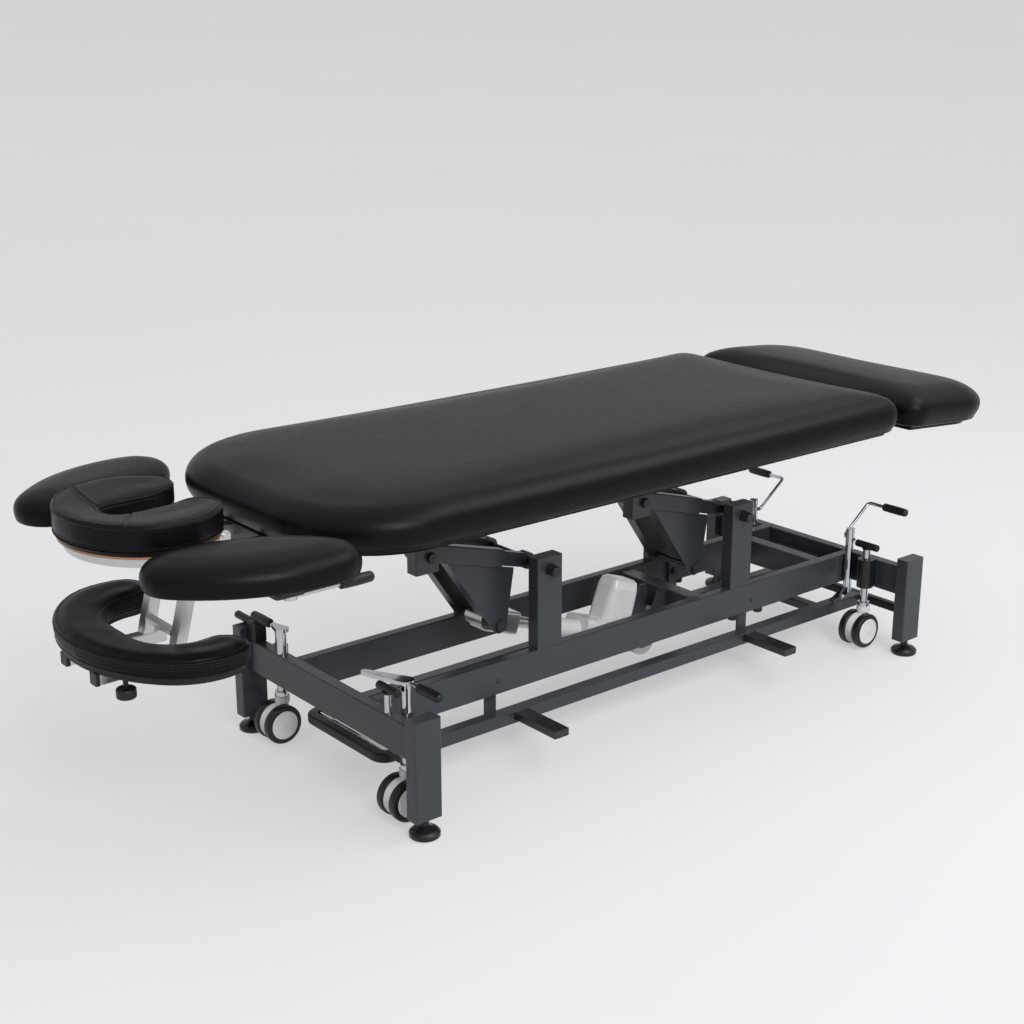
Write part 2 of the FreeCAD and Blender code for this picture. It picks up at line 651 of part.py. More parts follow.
def lift_arms(name, x):
    """One pair of arms, laid out along -X from the post shaft and then raised."""
    length = math.hypot(ARM_REACH, ARM_RISE)
    half = ARM_H / 2.0
    y0 = ARM_Y - ARM_W / 2.0
    y1 = ARM_Y + ARM_W / 2.0
    sleeve = bar(-length, -76, y0, y1, -half, half, V(1, 0, 0))
    nose = rod_y(ARM_H, y0, y1, -length, 0)
    inner = bar(-76, 0, y0 + 3, y1 - 3, -half + 4, half - 4, V(1, 0, 0))
    boss = rod_y(ARM_H - 2, y0 + 3, y1 - 3, 0, 0)
    arm = sleeve.fuse([nose, inner, boss]).removeSplitter()
    arm = arm.cut(rod_y(SHAFT_D + 2 * FIT, 0, 200, 0, 0))
    arm = arm.cut(rod_y(BOLT_D + 2 * FIT, 0, 200, -length, 0))
    tie = bar(-length + 60, -length + 100, -y0, y0, -12, 12, V(0, 1, 0))
    shapes = both_sides([arm]) + [tie]
    place(shapes, x)
    export(name + "_arms", shapes)


def place(shapes, x):
    for s in shapes:
        s.rotate(V(0, 0, 0), V(0, 1, 0), arm_turn())
        s.translate(V(x, 0, PIVOT_Z))


def v_plates(name, x):
    """Folded triangular plates welded under the arms, joined by the pin at their point."""
    turn = math.radians(-arm_turn())
    px = V_PIN_X * math.cos(turn) + V_PIN_Z * math.sin(turn)
    pz = -V_PIN_X * math.sin(turn) + V_PIN_Z * math.cos(turn)
    under = -ARM_H / 2.0
    left = -222.0
    right = -30.0
    r = 19.0
    y = ARM_Y - V_T / 2.0
    far = tangent(left, under, px, pz, r, 1)
    near = tangent(right, under, px, pz, r, -1)
    low = V(px, y, pz - r)
    edges = [Part.LineSegment(V(left, y, under), V(far[0], y, far[1])).toShape(),
             Part.Arc(V(far[0], y, far[1]), low, V(near[0], y, near[1])).toShape(),
             Part.LineSegment(V(near[0], y, near[1]), V(right, y, under)).toShape(),
             Part.LineSegment(V(right, y, under), V(left, y, under)).toShape()]
    plate = Part.Face(Part.Wire(edges)).extrude(V(0, V_T, 0))
    run = V(far[0] - left, 0, far[1] - under)
    length = 0.80 * run.Length
    flange = Part.makeBox(length, 24.0, V_T, V(0, -24.0, 0))
    flange.rotate(V(0, 0, 0), V(0, 1, 0), math.degrees(math.atan2(-run.z, run.x)))
    flange.translate(V(left, y, under))
    keep = box(-400, 400, 0, 200, -400, under)
    plate = plate.fuse(flange.common(keep)).removeSplitter()
    plate = plate.cut(rod_y(V_PIN_D, 0, 200, px, pz))
    reach = ARM_Y + V_T / 2.0
    pin = rod_y(V_PIN_D, -reach - 4, reach + 4, px, pz)
    head = rod_y(26.0, reach, reach + 9, px, pz)
    pin = pin.fuse([head, mirror_y(head)]).removeSplitter()
    shapes = both_sides([plate]) + [pin]
    place(shapes, x)
    export(name + "_v_plates", shapes)


def tangent(x, z, cx, cz, r, side):
    """Point where a line from (x, z) touches the round end of a plate."""
    dx = cx - x
    dz = cz - z
    d = math.hypot(dx, dz)
    base = math.atan2(-dz, -dx)
    off = math.acos(r / d)
    a = base + side * off
    return (cx + r * math.cos(a), cz + r * math.sin(a))


# Linear actuator between the front plates and the base
def actuator():
    x0 = POST_FRONT + V_PIN_X
    z0 = PIVOT_Z + V_PIN_Z
    length = math.hypot(TAIL_X - x0, TAIL_Z - z0)
    slope = math.degrees(math.atan2(z0 - TAIL_Z, TAIL_X - x0))

    def settle(shapes):
        for s in shapes:
            s.rotate(V(0, 0, 0), V(0, 1, 0), slope)
            s.translate(V(x0, 0, z0))
        return shapes

    # Laid out along +X from the plate pin
    eye = rod_y(44.0, -30, 30, 0, 0)
    yoke = bar(0, 92, -30, 30, -26, 26, V(1, 0, 0), 6.0).fuse(eye).removeSplitter()
    yoke = yoke.cut(box(-40, 62, -17, 17, -40, 40))
    yoke = yoke.cut(rod_y(V_PIN_D + 2 * FIT, -60, 60, 0, 0))
    rod = rod_x(26.0, 92, 330, 0, 0)
    export("actuator_rod", settle([yoke, rod]))

    bore = 26.0 + 2 * FIT
    tube = rod_x(44.0, 190, 300, 0, 0)
    gear = bar(300, 464, -40, 40, -34, 34, V(1, 0, 0), 14.0)
    tail = bar(464, length, -24, 24, -26, 26, V(1, 0, 0), 8.0)
    boss = rod_y(76.0, -24, 24, length, 0)
    body = tube.fuse([gear, tail, boss]).removeSplitter()
    body = body.cut(rod_x(bore, 180, 420, 0, 0))
    body = body.cut(rod_y(42.0, -60, 60, length, 0))
    motor = motor_housing(404.0)
    export("actuator_body", settle([body, motor]))


def motor_housing(x):
    """Upright moulded motor cover with soft edges, narrower at the top."""
    levels = [(0.0, 34.0), (0.0, 66.0), (2.0, 116.0), (7.0, 134.0), (16.0, 140.0)]

    def plan(inset):
        return rounded_outline(x - 46, x + 46, 36, 20, 20, inset)

    return cushion(plan, levels)


# Upholstered top
def main_plan(inset):
    return rounded_outline(PAD_HEAD, PAD_FOOT, PAD_W / 2.0, HEAD_CORNER, FOOT_CORNER, inset)


def foot_plan(inset):
    return rounded_outline(FOOT_START, FOOT_END, PAD_W / 2.0, FOOT_CORNER, END_CORNER, inset)


def top_section():
    export("main_board", [slab(main_plan, BOARD_INSET, BOARD_Z, PAD_Z)])
    export("main_pad", [cushion(main_plan, soft_levels(PAD_Z, PAD_H, PAD_UNDER, PAD_OVER, PAD_CROWN))])

    rail_y = BLOCK_Y + 2.0
    rail = tube(FRAME_HEAD, FRAME_FOOT, rail_y, rail_y + 30, FRAME_Z, BOARD_Z, V(1, 0, 0))
    ties = []
    for x in (FRAME_HEAD, POST_FRONT - 19.0, FRAME_FOOT - TOP_TUBE):
        ties.append(tube(x, x + TOP_TUBE, -rail_y, rail_y, FRAME_Z, BOARD_Z, V(0, 1, 0)))
    lug_y = FOOT_ARM_Y - 1 - LUG_T
    lug = box(FRAME_FOOT, FOOT_HINGE_X, lug_y, lug_y + LUG_T, FOOT_HINGE_Z - 12, FOOT_HINGE_Z + 11)
    lug = lug.fuse(rod_y(TUBE, lug_y, lug_y + LUG_T, FOOT_HINGE_X, FOOT_HINGE_Z)).removeSplitter()
    lug = lug.cut(rod_y(PIN_D, 0, PAD_W, FOOT_HINGE_X, FOOT_HINGE_Z))
    pin = rod_y(PIN_D, lug_y - 3, FOOT_ARM_Y + TUBE + 3, FOOT_HINGE_X, FOOT_HINGE_Z)
    export("top_frame_tubes", both_sides([rail, lug, pin]) + ties)

    blocks = []
    bolts = []
    for x in (POST_FRONT - ARM_REACH, POST_REAR - ARM_REACH):
        block = bar(x - 37, x + 22, BLOCK_Y, BLOCK_Y + 34, TOP_PIVOT_Z - 34, FRAME_Z, V(0, 0, 1))
        blocks.append(block.cut(rod_y(BOLT_D, 0, PAD_W, x, TOP_PIVOT_Z)))
        inner = ARM_Y - ARM_W / 2.0
        bolt = rod_y(BOLT_D, inner - 8, BLOCK_Y + 34, x, TOP_PIVOT_Z)
        head = hex_head(20.0, 9.0, x, BLOCK_Y + 34, TOP_PIVOT_Z)
        nut = hex_head(20.0, 9.0, x, inner - 9 - GAP, TOP_PIVOT_Z)
        bolts.append(bolt.fuse([head, nut]).removeSplitter())
    export("pivot_blocks", both_sides(blocks))
    export("pivot_bolts", both_sides(bolts))


def hex_head(flats, height, x, y, z):
    r = flats / math.sqrt(3.0)
    corners = []
    for k in range(7):
        a = math.radians(60 * k)
        corners.append(V(x + r * math.cos(a), y, z + r * math.sin(a)))
    return Part.Face(Part.makePolygon(corners)).extrude(V(0, height, 0))


def foot_section():
    def drop(shapes):
        for shape in shapes:
            shape.rotate(V(FOOT_HINGE_X, 0, FOOT_HINGE_Z), V(0, 1, 0), FOOT_DROP)
        return shapes

    export("foot_board", drop([slab(foot_plan, BOARD_INSET, BOARD_Z, PAD_Z)]))
    pad = cushion(foot_plan, soft_levels(PAD_Z, PAD_H, PAD_UNDER, PAD_OVER, PAD_CROWN))
    export("foot_pad", drop([pad]))
    y1 = FOOT_ARM_Y + TUBE
    arm = bar(FOOT_HINGE_X, FOOT_END - 80, FOOT_ARM_Y, y1, BOARD_Z - TUBE, BOARD_Z, V(1, 0, 0))
    arm = arm.fuse(rod_y(TUBE, FOOT_ARM_Y, y1, FOOT_HINGE_X, FOOT_HINGE_Z)).removeSplitter()
    arm = arm.cut(rod_y(PIN_D + 2 * FIT, 0, PAD_W, FOOT_HINGE_X, FOOT_HINGE_Z))
    cross = tube(FOOT_END - 140, FOOT_END - 110, -FOOT_ARM_Y, FOOT_ARM_Y, BOARD_Z - TUBE, BOARD_Z, V(0, 1, 0))
    export("foot_frame", drop(both_sides([arm]) + [cross]))


# Head end
def cradle_plan(inset):
    return horseshoe_outline(CRADLE_X, CRADLE_A, CRADLE_B, CRADLE_SIDE_R, CRADLE_SLOT,
                             CRADLE_SLOT_R, CRADLE_SLOT_X, CRADLE_TIP_X, inset)


def shelf_plan(inset):
    return horseshoe_outline(SHELF_X, SHELF_A, SHELF_B, SHELF_SIDE_R, SHELF_SLOT,
                             SHELF_SLOT_R, SHELF_SLOT_X, SHELF_TIP_X, inset)


def head_tubes():
    low = TUBE_TOP - TUBE
    y0 = TUBE_Y - TUBE / 2.0
    y1 = TUBE_Y + TUBE / 2.0
    x0 = ARM_HINGE_X - TUBE / 2.0
    x1 = x0 + TUBE
    soft = 2.5
    long_tube = tube(x0 - 12, FRAME_HEAD, y0, y1, low, TUBE_TOP, V(1, 0, 0), soft)
    lug_y = TUBE_Y - 3.0
    lug = box(CRADLE_HINGE_X - 12, CRADLE_HINGE_X + 12, lug_y, lug_y + LUG_T, TUBE_TOP, CRADLE_HINGE_Z)
    eye = rod_y(KNUCKLE_D, lug_y, lug_y + LUG_T, CRADLE_HINGE_X, CRADLE_HINGE_Z)
    lug = lug.fuse(eye).removeSplitter().cut(rod_y(PIN_D, 0, PAD_W, CRADLE_HINGE_X, CRADLE_HINGE_Z))
    pin = rod_y(PIN_D, lug_y - EAR_T - 3, lug_y + LUG_T + 2, CRADLE_HINGE_X, CRADLE_HINGE_Z)
    outer = tube(x0, x1, y1, ARM_HINGE_Y - 14, low, TUBE_TOP, V(0, 1, 0), soft)
    barrel = rod_x(KNUCKLE_D, x0, x1, ARM_HINGE_Y, ARM_HINGE_Z)
    neck = box(x0, x1, ARM_HINGE_Y - 14, ARM_HINGE_Y, ARM_HINGE_Z - 12, ARM_HINGE_Z + 7)
    barrel = barrel.fuse(neck).removeSplitter()
    barrel = barrel.cut(rod_x(PIN_D, x0 - 1, x1 + 1, ARM_HINGE_Y, ARM_HINGE_Z))
    hinge_pin = rod_x(PIN_D, x0 - 18, x1 + 18, ARM_HINGE_Y, ARM_HINGE_Z)
    middle = tube(x0, x1, -y0, y0, low, TUBE_TOP, V(0, 1, 0), soft)
    export("head_tubes", both_sides([long_tube, lug, pin, outer, barrel, hinge_pin]) + [middle])


def face_cradle():
    ring_z = CRADLE_PLATE_Z + PLATE_T
    plate = slab(cradle_plan, 22.0, CRADLE_PLATE_Z, ring_z)
    y1 = TUBE_Y - 3.0 - 1.0
    y0 = y1 - EAR_T
    ear = box(CRADLE_TIP_X - 12, CRADLE_HINGE_X, y0, y1, CRADLE_PLATE_Z, CRADLE_HINGE_Z + 11)
    ear = ear.fuse(rod_y(22.0, y0, y1, CRADLE_HINGE_X, CRADLE_HINGE_Z))
    foot = box(CRADLE_TIP_X - 12, CRADLE_TIP_X + 18, y0, y1 + 24, CRADLE_PLATE_Z, ring_z)
    ear = ear.fuse(foot).removeSplitter()
    plate = plate.fuse([ear, mirror_y(ear)]).removeSplitter()
    plate = plate.cut(rod_y(PIN_D + 2 * FIT, -PAD_W, PAD_W, CRADLE_HINGE_X, CRADLE_HINGE_Z))
    export("cradle_plate", [plate])
    export("cradle_ring", [slab(cradle_plan, 10.0, ring_z, CRADLE_Z)])
    export("cradle_pad", [cushion(cradle_plan, sewn_levels(CRADLE_Z, CRADLE_H, 5.0, 112.0))])


def armrests():
    def plan(inset):
        return oval_outline(ARMREST_A, ARMREST_B, ARMREST_R, inset)

    pad = cushion(plan, soft_levels(ARMREST_Z, ARMREST_H, ARMREST_UNDER, ARMREST_OVER, 5.0))
    pad.rotate(V(0, 0, 0), V(0, 0, 1), -ARMREST_TURN)
    pad.translate(V(ARMREST_X, -ARMREST_Y, 0))
    export("armrest_pad_near", [pad])
    export("armrest_pad_far", [mirror_y(pad)])

    x0 = ARM_HINGE_X - TUBE / 2.0
    x1 = ARM_HINGE_X + TUBE / 2.0
    z0 = ARMREST_Z - 8.0
    out = ARM_HINGE_Y + 205.0
    arm = bar(x0 - 17, x1 + 17, ARM_HINGE_Y + 3, out, z0, ARMREST_Z, V(0, 0, 1), 6.0)
    for a, b in ((x0 - 17, x0 - 0.4), (x1 + 0.4, x1 + 17)):
        knuckle = rod_x(KNUCKLE_D, a, b, ARM_HINGE_Y, ARM_HINGE_Z)
        web = box(a, b, ARM_HINGE_Y, ARM_HINGE_Y + 16, ARM_HINGE_Z, z0)
        arm = arm.fuse([knuckle, web])
    arm = arm.removeSplitter().cut(rod_x(PIN_D + 2 * FIT, x0 - 40, x1 + 40, ARM_HINGE_Y, ARM_HINGE_Z))
    export("armrest_arm_far", [arm])
    export("armrest_arm_near", [mirror_y(arm)])

    px = ARM_HINGE_X + 8.0
    py = -out + 17.0
    top = z0 - GAP
    hub = rod_z(24.0, top - 10, top, px, py)
    rod = rod_x(CRANK_D, px, px + 104, py, top - 5)
    lever = hub.fuse(rod).removeSplitter()
    grip = handle_grip(V(px + 104, py, top - 5), V(1, 0, 0), GRIP_L, GRIP_D)
    export("armrest_lever_near", [lever, grip])
    export("armrest_lever_far", [mirror_y(lever), mirror_y(grip)])


def arm_shelf():
    board_z = SHELF_Z - SHELF_BOARD_T
    export("shelf_board", [slab(shelf_plan, 14.0, board_z, SHELF_Z)])
    export("shelf_pad", [cushion(shelf_plan, sewn_levels(SHELF_Z, SHELF_H, 4.0, 113.0))])

    y0 = TUBE_Y - TUBE / 2.0
    y1 = TUBE_Y + TUBE / 2.0
    top = board_z - GAP
    head = SHELF_X - SHELF_A + 28.0
    rail = tube(head, SHELF_X + 38, y0, y1, top - TUBE, top, V(1, 0, 0), 2.5)
    hang_x = ARM_HINGE_X - 20.0
    hang_z = TUBE_TOP - TUBE
    corners = [V(SHELF_X - 12, y0, top), V(SHELF_X + 13, y0, top), V(hang_x + 27, y0, hang_z), V(hang_x, y0, hang_z)]
    post = Part.Face(Part.makePolygon(corners + corners[:1])).extrude(V(0, TUBE, 0))
    post = post.makeFillet(2.0, [e for e in post.Edges if abs(e.Vertexes[0].Y - e.Vertexes[-1].Y) < 0.1
                                 and abs(e.Vertexes[0].Z - e.Vertexes[-1].Z) > TUBE])
    bridge = bar(SHELF_X - 5, SHELF_X + 13, -y0, y0, SHELF_Z + 13, SHELF_Z + 25, V(0, 1, 0), 2.0)
    export("shelf_frame", both_sides([rail, post]) + [bridge])
    cap = bar(head - 8, head, y0 - 0.5, y1 + 0.5, top - TUBE - 0.5, top, V(1, 0, 0), 2.5)
    export("shelf_end_caps", both_sides([cap]))

    kx = SHELF_X - 130.0
    ky = -TUBE_Y - 46.0
    stem_top = rod_z(PIN_D, board_z - 26, board_z - GAP, kx, ky)
    knob = rod_z(38.0, board_z - 46, board_z - 26, kx, ky)
    knob = knob.makeFillet(4.0, [e for e in knob.Edges if e.Closed])
    export("shelf_knob", [knob.fuse(stem_top).removeSplitter()])


base_frame()
pivot_posts()
base_fittings()
caster_mounts()
for side, sy in (("near", -1), ("far", 1)):
    caster("head_" + side, -HEAD_STEM_X, sy * HEAD_STEM_Y)
    caster("foot_" + side, FOOT_STEM_X, sy * FOOT_STEM_Y)
corner_levers()
foot_control()
lift_arms("front", POST_FRONT)
lift_arms("rear", POST_REAR)
v_plates("front", POST_FRONT)
v_plates("rear", POST_REAR)
actuator()
top_section()
foot_section()
head_tubes()
face_cradle()
armrests()
arm_shelf()
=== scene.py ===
import bpy
import json
import math
import numpy as np
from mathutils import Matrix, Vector, kdtree, noise
from mathutils.bvhtree import BVHTree


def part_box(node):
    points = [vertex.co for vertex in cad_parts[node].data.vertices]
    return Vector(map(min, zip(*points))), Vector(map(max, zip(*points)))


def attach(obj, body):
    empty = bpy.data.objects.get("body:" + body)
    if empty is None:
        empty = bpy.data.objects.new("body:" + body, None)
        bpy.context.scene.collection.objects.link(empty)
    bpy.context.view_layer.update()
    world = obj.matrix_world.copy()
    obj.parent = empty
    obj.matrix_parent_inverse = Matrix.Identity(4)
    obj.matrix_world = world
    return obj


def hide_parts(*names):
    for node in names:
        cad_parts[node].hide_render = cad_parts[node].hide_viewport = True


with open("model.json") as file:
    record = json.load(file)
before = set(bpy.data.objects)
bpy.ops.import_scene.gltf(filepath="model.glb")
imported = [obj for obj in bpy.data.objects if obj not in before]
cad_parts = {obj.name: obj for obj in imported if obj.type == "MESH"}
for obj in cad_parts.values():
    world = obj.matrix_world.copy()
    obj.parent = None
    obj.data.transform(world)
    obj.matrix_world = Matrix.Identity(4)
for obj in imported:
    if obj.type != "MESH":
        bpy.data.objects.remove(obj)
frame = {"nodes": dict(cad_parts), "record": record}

scene = bpy.context.scene
nodes = frame["nodes"]
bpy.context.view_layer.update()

# Camera, fitted to the photograph: degrees, metres, and millimetres for the lens
AZIMUTH = -39.44
ELEVATION = 17.28
TARGET = (-0.1156, 0.0, 0.4982)
DISTANCE = 3.6695
SENSOR = 36.0
LENS = 57.86
CLIP_END = 2000.0

# Places in metres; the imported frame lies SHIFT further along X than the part's source
SHIFT = 0.148088
SIDES = (("near", -1), ("far", 1))
FOOT_DROP = 4.5
FOOT_HINGE = (0.658 + SHIFT, 0.5855)

# Undersides of the cushions, and the edges of the boards that carry them
PAD_Z = 0.607
ARM_Z = 0.611
CRADLE_Z = 0.650
SHELF_Z = 0.424
BOARD_INSET = 0.046
BOARD_DEPTH = 0.009
PLY_INSET = 0.010
PLY_HEM = 0.007

# Outlines: spacing of points, and limits of the corner radii
OUTLINE_STEP = 0.004
SEAM_STEP = 0.002
SIDE_POINTS = (220, 110, 220, 110)
CORNER_POINTS = 40
CORNER_MIN = 0.003
CORNER_SHARE = 0.45
CORNER_KEEP = 0.6

# Cushions start a little small, because the simulation swells them
PAD_SHRINK = 0.002
BOX_SHRINK = 0.0015
PAD_PRESSURE = 4.0
BOX_PRESSURE = 5.0
BOX_VOXEL = 0.004
BOX_CAP = 0.006
BOX_ROUNDS = 16
CLOTH_FRAMES = 20
CLOTH = {
    "quality": 4,
    "mass": 0.3,
    "tension_stiffness": 12.0,
    "compression_stiffness": 12.0,
    "shear_stiffness": 6.0,
    "bending_stiffness": 0.8,
    "air_damping": 2.0,
    "use_pressure": True,
    "shrink_min": 0.02,
}
OWN_SHARE = 0.4
NEIGHBOUR_SHARE = 0.6

# Seams as (depth, width), ridges beside them as (height, distance, width)
SEAM_INSET = 0.0055
RIM_SEAM = (0.0024, 0.0020)
RIM_RIDGE = (0.0006, 0.0050, 0.0028)
CROSS_SEAM = (0.0032, 0.0022)
CROSS_RIDGE = (0.0009, 0.0060, 0.0035)
FOOT_SEAM = (0.0014, 0.0016)
STITCH_GROOVE = (0.0008, 0.0014)
STITCH_OFF = 0.0075
CROSS_STITCH_OFF = 0.0058
CROSS_STITCH_EDGE = 0.010

# One stitch: its pitch, length and radius, and (place, rise, thickness) along it
STITCH_PITCH = 0.0062
STITCH_LENGTH = 0.0046
STITCH_RADIUS = 0.00055
STITCH_SIDES = 6
STITCH_SHAPE = (
    (0, -0.6, 0.4), (0.2, 0.35, 0.95), (0.5, 0.6, 1.0), (0.8, 0.35, 0.95), (1, -0.6, 0.4),
)

# Grips: the bar's end lies GRIP_REACH inside, its centre BAR_HALF from the sides of its box
GRIP_LENGTH = 0.0700
GRIP_RADIUS = 0.0104
GRIP_REACH = 0.0640
BAR_HALF = 0.009
ARM_LEVER_IN = 0.012
LEVER_X = {"near": SHIFT - 0.733, "far": SHIFT - 0.758}

# Wheel discs: (distance along the axle, radius), a raised rim round a flat face
HUB_RADIUS = 0.0327
HUB_SIDES = 64
HUB_PROFILE = [
    (-0.0012, HUB_RADIUS), (0.0006, HUB_RADIUS), (0.0015, HUB_RADIUS - 0.0010),
    (0.0017, HUB_RADIUS - 0.0030), (0.0010, HUB_RADIUS - 0.0044), (0.0009, HUB_RADIUS - 0.0080),
    (0.0008, 0.0120), (0.0009, 0.0040), (0.0012, 0.0032), (0.0013, 0.0004),
]

# Studio: floor as (radius, height) with a raised rim, world strength by height, lamps
FLOOR_ROWS = [
    (0.5, 0.0), (2.0, 0.0), (6.0, 0.0), (14.0, 0.0), (20.0, 0.0),
    (24.0, 0.25), (27.0, 1.0), (29.0, 2.4), (30.0, 5.0), (30.4, 7.0),
]
FLOOR_SIDES = 96
FLOOR_GLOW = 0.455
FLOOR_TINT = (0.985, 0.990, 1.0, 1.0)
WORLD_TINT = (0.955, 0.970, 1.0, 1.0)
WORLD_TOP = 0.9
WORLD_STRENGTH = (0.34, 0.90)
LAMP_AIM = (0.0, 0.0, 0.4)
LAMPS = [
    ("key", (1.3, -1.5, 3.2), (4.0, 1.5), 52.0),
    ("fill", (-1.9, -7.6, 5.4), (3.5, 3.5), 400.0),
]


# Camera at the photograph's viewing angle
def set_camera():
    az = math.radians(AZIMUTH)
    el = math.radians(ELEVATION)
    back = Vector((math.sin(az) * math.cos(el), -math.cos(az) * math.cos(el), math.sin(el)))
    data = bpy.data.cameras.new("camera")
    data.sensor_width = SENSOR
    data.lens = LENS
    data.clip_end = CLIP_END
    cam = bpy.data.objects.new("camera", data)
    cam.location = Vector(TARGET) + back * DISTANCE
    cam.rotation_euler = (-back).to_track_quat("-Z", "Y").to_euler()
    scene.collection.objects.link(cam)
    scene.camera = cam


# Materials
class Shade:
    """One principled material with a few helpers for its procedural detail."""

    def __init__(self, name, metallic=0.0, **sockets):
        self.mat = bpy.data.materials.new(name)
        self.mat.use_nodes = True
        self.tree = self.mat.node_tree
        self.bsdf = self.tree.nodes["Principled BSDF"]
        self.bsdf.inputs["Metallic"].default_value = metallic
        for key, value in sockets.items():
            self.bsdf.inputs[key.replace("_", " ")].default_value = value
        coord = self.tree.nodes.new("ShaderNodeTexCoord")
        self.place = coord.outputs["Object"]

    def node(self, kind, **inputs):
        n = self.tree.nodes.new(kind)
        for key, value in inputs.items():
            n.inputs[key.replace("_", " ")].default_value = value
        return n

    def link(self, out, to):
        self.tree.links.new(out, to)

    def stretched(self, sx, sy, sz):
        m = self.node("ShaderNodeMapping", Scale=(sx, sy, sz))
        self.link(self.place, m.inputs["Vector"])
        return m.outputs["Vector"]

    def noise(self, scale, detail=4.0, rough=0.55, where=None):
        n = self.node("ShaderNodeTexNoise", Scale=scale, Detail=detail, Roughness=rough)
        self.link(where or self.place, n.inputs["Vector"])
        return n.outputs["Fac"]

    def cells(self, scale, feature="F1"):
        n = self.node("ShaderNodeTexVoronoi", Scale=scale)
        n.feature = feature
        self.link(self.place, n.inputs["Vector"])
        return n.outputs["Distance"]

    def ramp(self, value, low, high, lo_out=0.0, hi_out=1.0):
        n = self.node("ShaderNodeMapRange", From_Min=low, From_Max=high,
                      To_Min=lo_out, To_Max=hi_out)
        self.link(value, n.inputs["Value"])
        return n.outputs["Result"]

    def math(self, op, a, b):
        n = self.tree.nodes.new("ShaderNodeMath")
        n.operation = op
        for k, v in enumerate((a, b)):
            if isinstance(v, (int, float)):
                n.inputs[k].default_value = v
            else:
                self.link(v, n.inputs[k])
        return n.outputs["Value"]

    def mix(self, factor, a, b):
        """Colour mix; sockets 6 and 7 take its two colours, and output 2 gives the result."""
        n = self.tree.nodes.new("ShaderNodeMix")
        n.data_type = "RGBA"
        self.link(factor, n.inputs[0])
        for k, v in ((6, a), (7, b)):
            if isinstance(v, tuple):
                n.inputs[k].default_value = v + (1.0,)
            else:
                self.link(v, n.inputs[k])
        return n.outputs[2]

    def colour(self, out):
        self.link(out, self.bsdf.inputs["Base Color"])

    def roughness(self, out):
        self.link(out, self.bsdf.inputs["Roughness"])

    def bump(self, height, strength, distance):
        n = self.node("ShaderNodeBump", Strength=strength, Distance=distance)
        self.link(height, n.inputs["Height"])
        self.link(n.outputs["Normal"], self.bsdf.inputs["Normal"])


def leather(name, dark, light):
    """Black upholstery leather: fine pebble grain over a faint broad unevenness."""
    s = Shade(name, IOR=1.45, Specular_IOR_Level=0.15, Specular_Tint=(0.90, 0.93, 1.0, 1.0))
    cloud = s.noise(3.0, 3.0)
    fine = s.noise(420.0, 3.0)
    tone = s.math("ADD", cloud, s.math("MULTIPLY", fine, 0.8))
    s.colour(s.mix(s.ramp(tone, 0.5, 1.3), dark, light))
    s.roughness(s.ramp(s.noise(60.0, 4.0), 0.3, 0.7, 0.33, 0.38))
    grain = s.math("ADD", s.cells(900.0, "SMOOTH_F1"), s.math("MULTIPLY", s.cells(2100.0), 0.5))
    s.bump(grain, 0.13, 0.0004)
    return s.mat


def powder_coat(name, dark, light):
    """Powder-coated steel: slight orange peel, with faintly duller and lighter patches."""
    s = Shade(name, IOR=1.5, Specular_IOR_Level=0.42)
    s.colour(s.mix(s.ramp(s.noise(6.0, 3.0), 0.3, 0.7), dark, light))
    s.roughness(s.ramp(s.noise(8.0, 2.0), 0.3, 0.7, 0.29, 0.34))
    s.bump(s.noise(700.0, 2.0), 0.08, 0.0005)
    return s.mat


def plastic(name, dark, light, rough, grain, strength):
    """Moulded plastic or rubber with a fine eroded texture."""
    s = Shade(name, IOR=1.47, Specular_IOR_Level=0.4)
    s.colour(s.mix(s.ramp(s.noise(16.0, 5.0), 0.35, 0.7), dark, light))
    s.roughness(s.ramp(s.noise(55.0, 4.0), 0.3, 0.7, rough - 0.06, rough + 0.06))
    s.bump(s.noise(grain, 3.0), strength, 0.0006)
    return s.mat


def chrome():
    """Chrome plate with faint waviness and uneven polish."""
    s = Shade("chrome_plate", metallic=1.0)
    tone = s.ramp(s.noise(25.0, 4.0), 0.3, 0.7)
    s.colour(s.mix(tone, (0.50, 0.51, 0.53), (0.60, 0.61, 0.63)))
    s.roughness(s.ramp(s.noise(60.0, 6.0, 0.7), 0.35, 0.75, 0.04, 0.11))
    s.bump(s.noise(18.0, 2.0), 0.03, 0.002)
    return s.mat


def brushed(name, axis):
    """Silver steel with brushing along one axis and faint handling marks."""
    s = Shade(name, metallic=1.0)
    lines = [14.0 if a == axis else 900.0 for a in "xyz"]
    streak = s.noise(1.0, 3.0, 0.6, s.stretched(*lines))
    cloud = s.noise(20.0, 5.0)
    s.colour(s.mix(s.ramp(streak, 0.3, 0.7), (0.50, 0.50, 0.50), (0.68, 0.68, 0.68)))
    s.roughness(s.ramp(s.math("ADD", streak, cloud), 0.6, 1.4, 0.26, 0.44))
    s.bump(streak, 0.10, 0.0005)
    return s.mat


def plywood():
    """Varnished beech ply: thin layers on the edge, long grain on the face."""
    s = Shade("beech_ply", Coat_Weight=0.3, Coat_Roughness=0.2)
    layers = s.noise(1.0, 1.0, 0.5, s.stretched(3.0, 3.0, 620.0))
    grain = s.noise(1.0, 6.0, 0.65, s.stretched(8.0, 150.0, 150.0))
    base = s.mix(s.ramp(layers, 0.42, 0.58), (0.46, 0.20, 0.085), (0.60, 0.31, 0.15))
    s.colour(s.mix(s.ramp(grain, 0.35, 0.75), base, (0.40, 0.17, 0.07)))
    s.roughness(s.ramp(grain, 0.3, 0.7, 0.34, 0.48))
    s.bump(s.math("ADD", layers, grain), 0.12, 0.0006)
    return s.mat


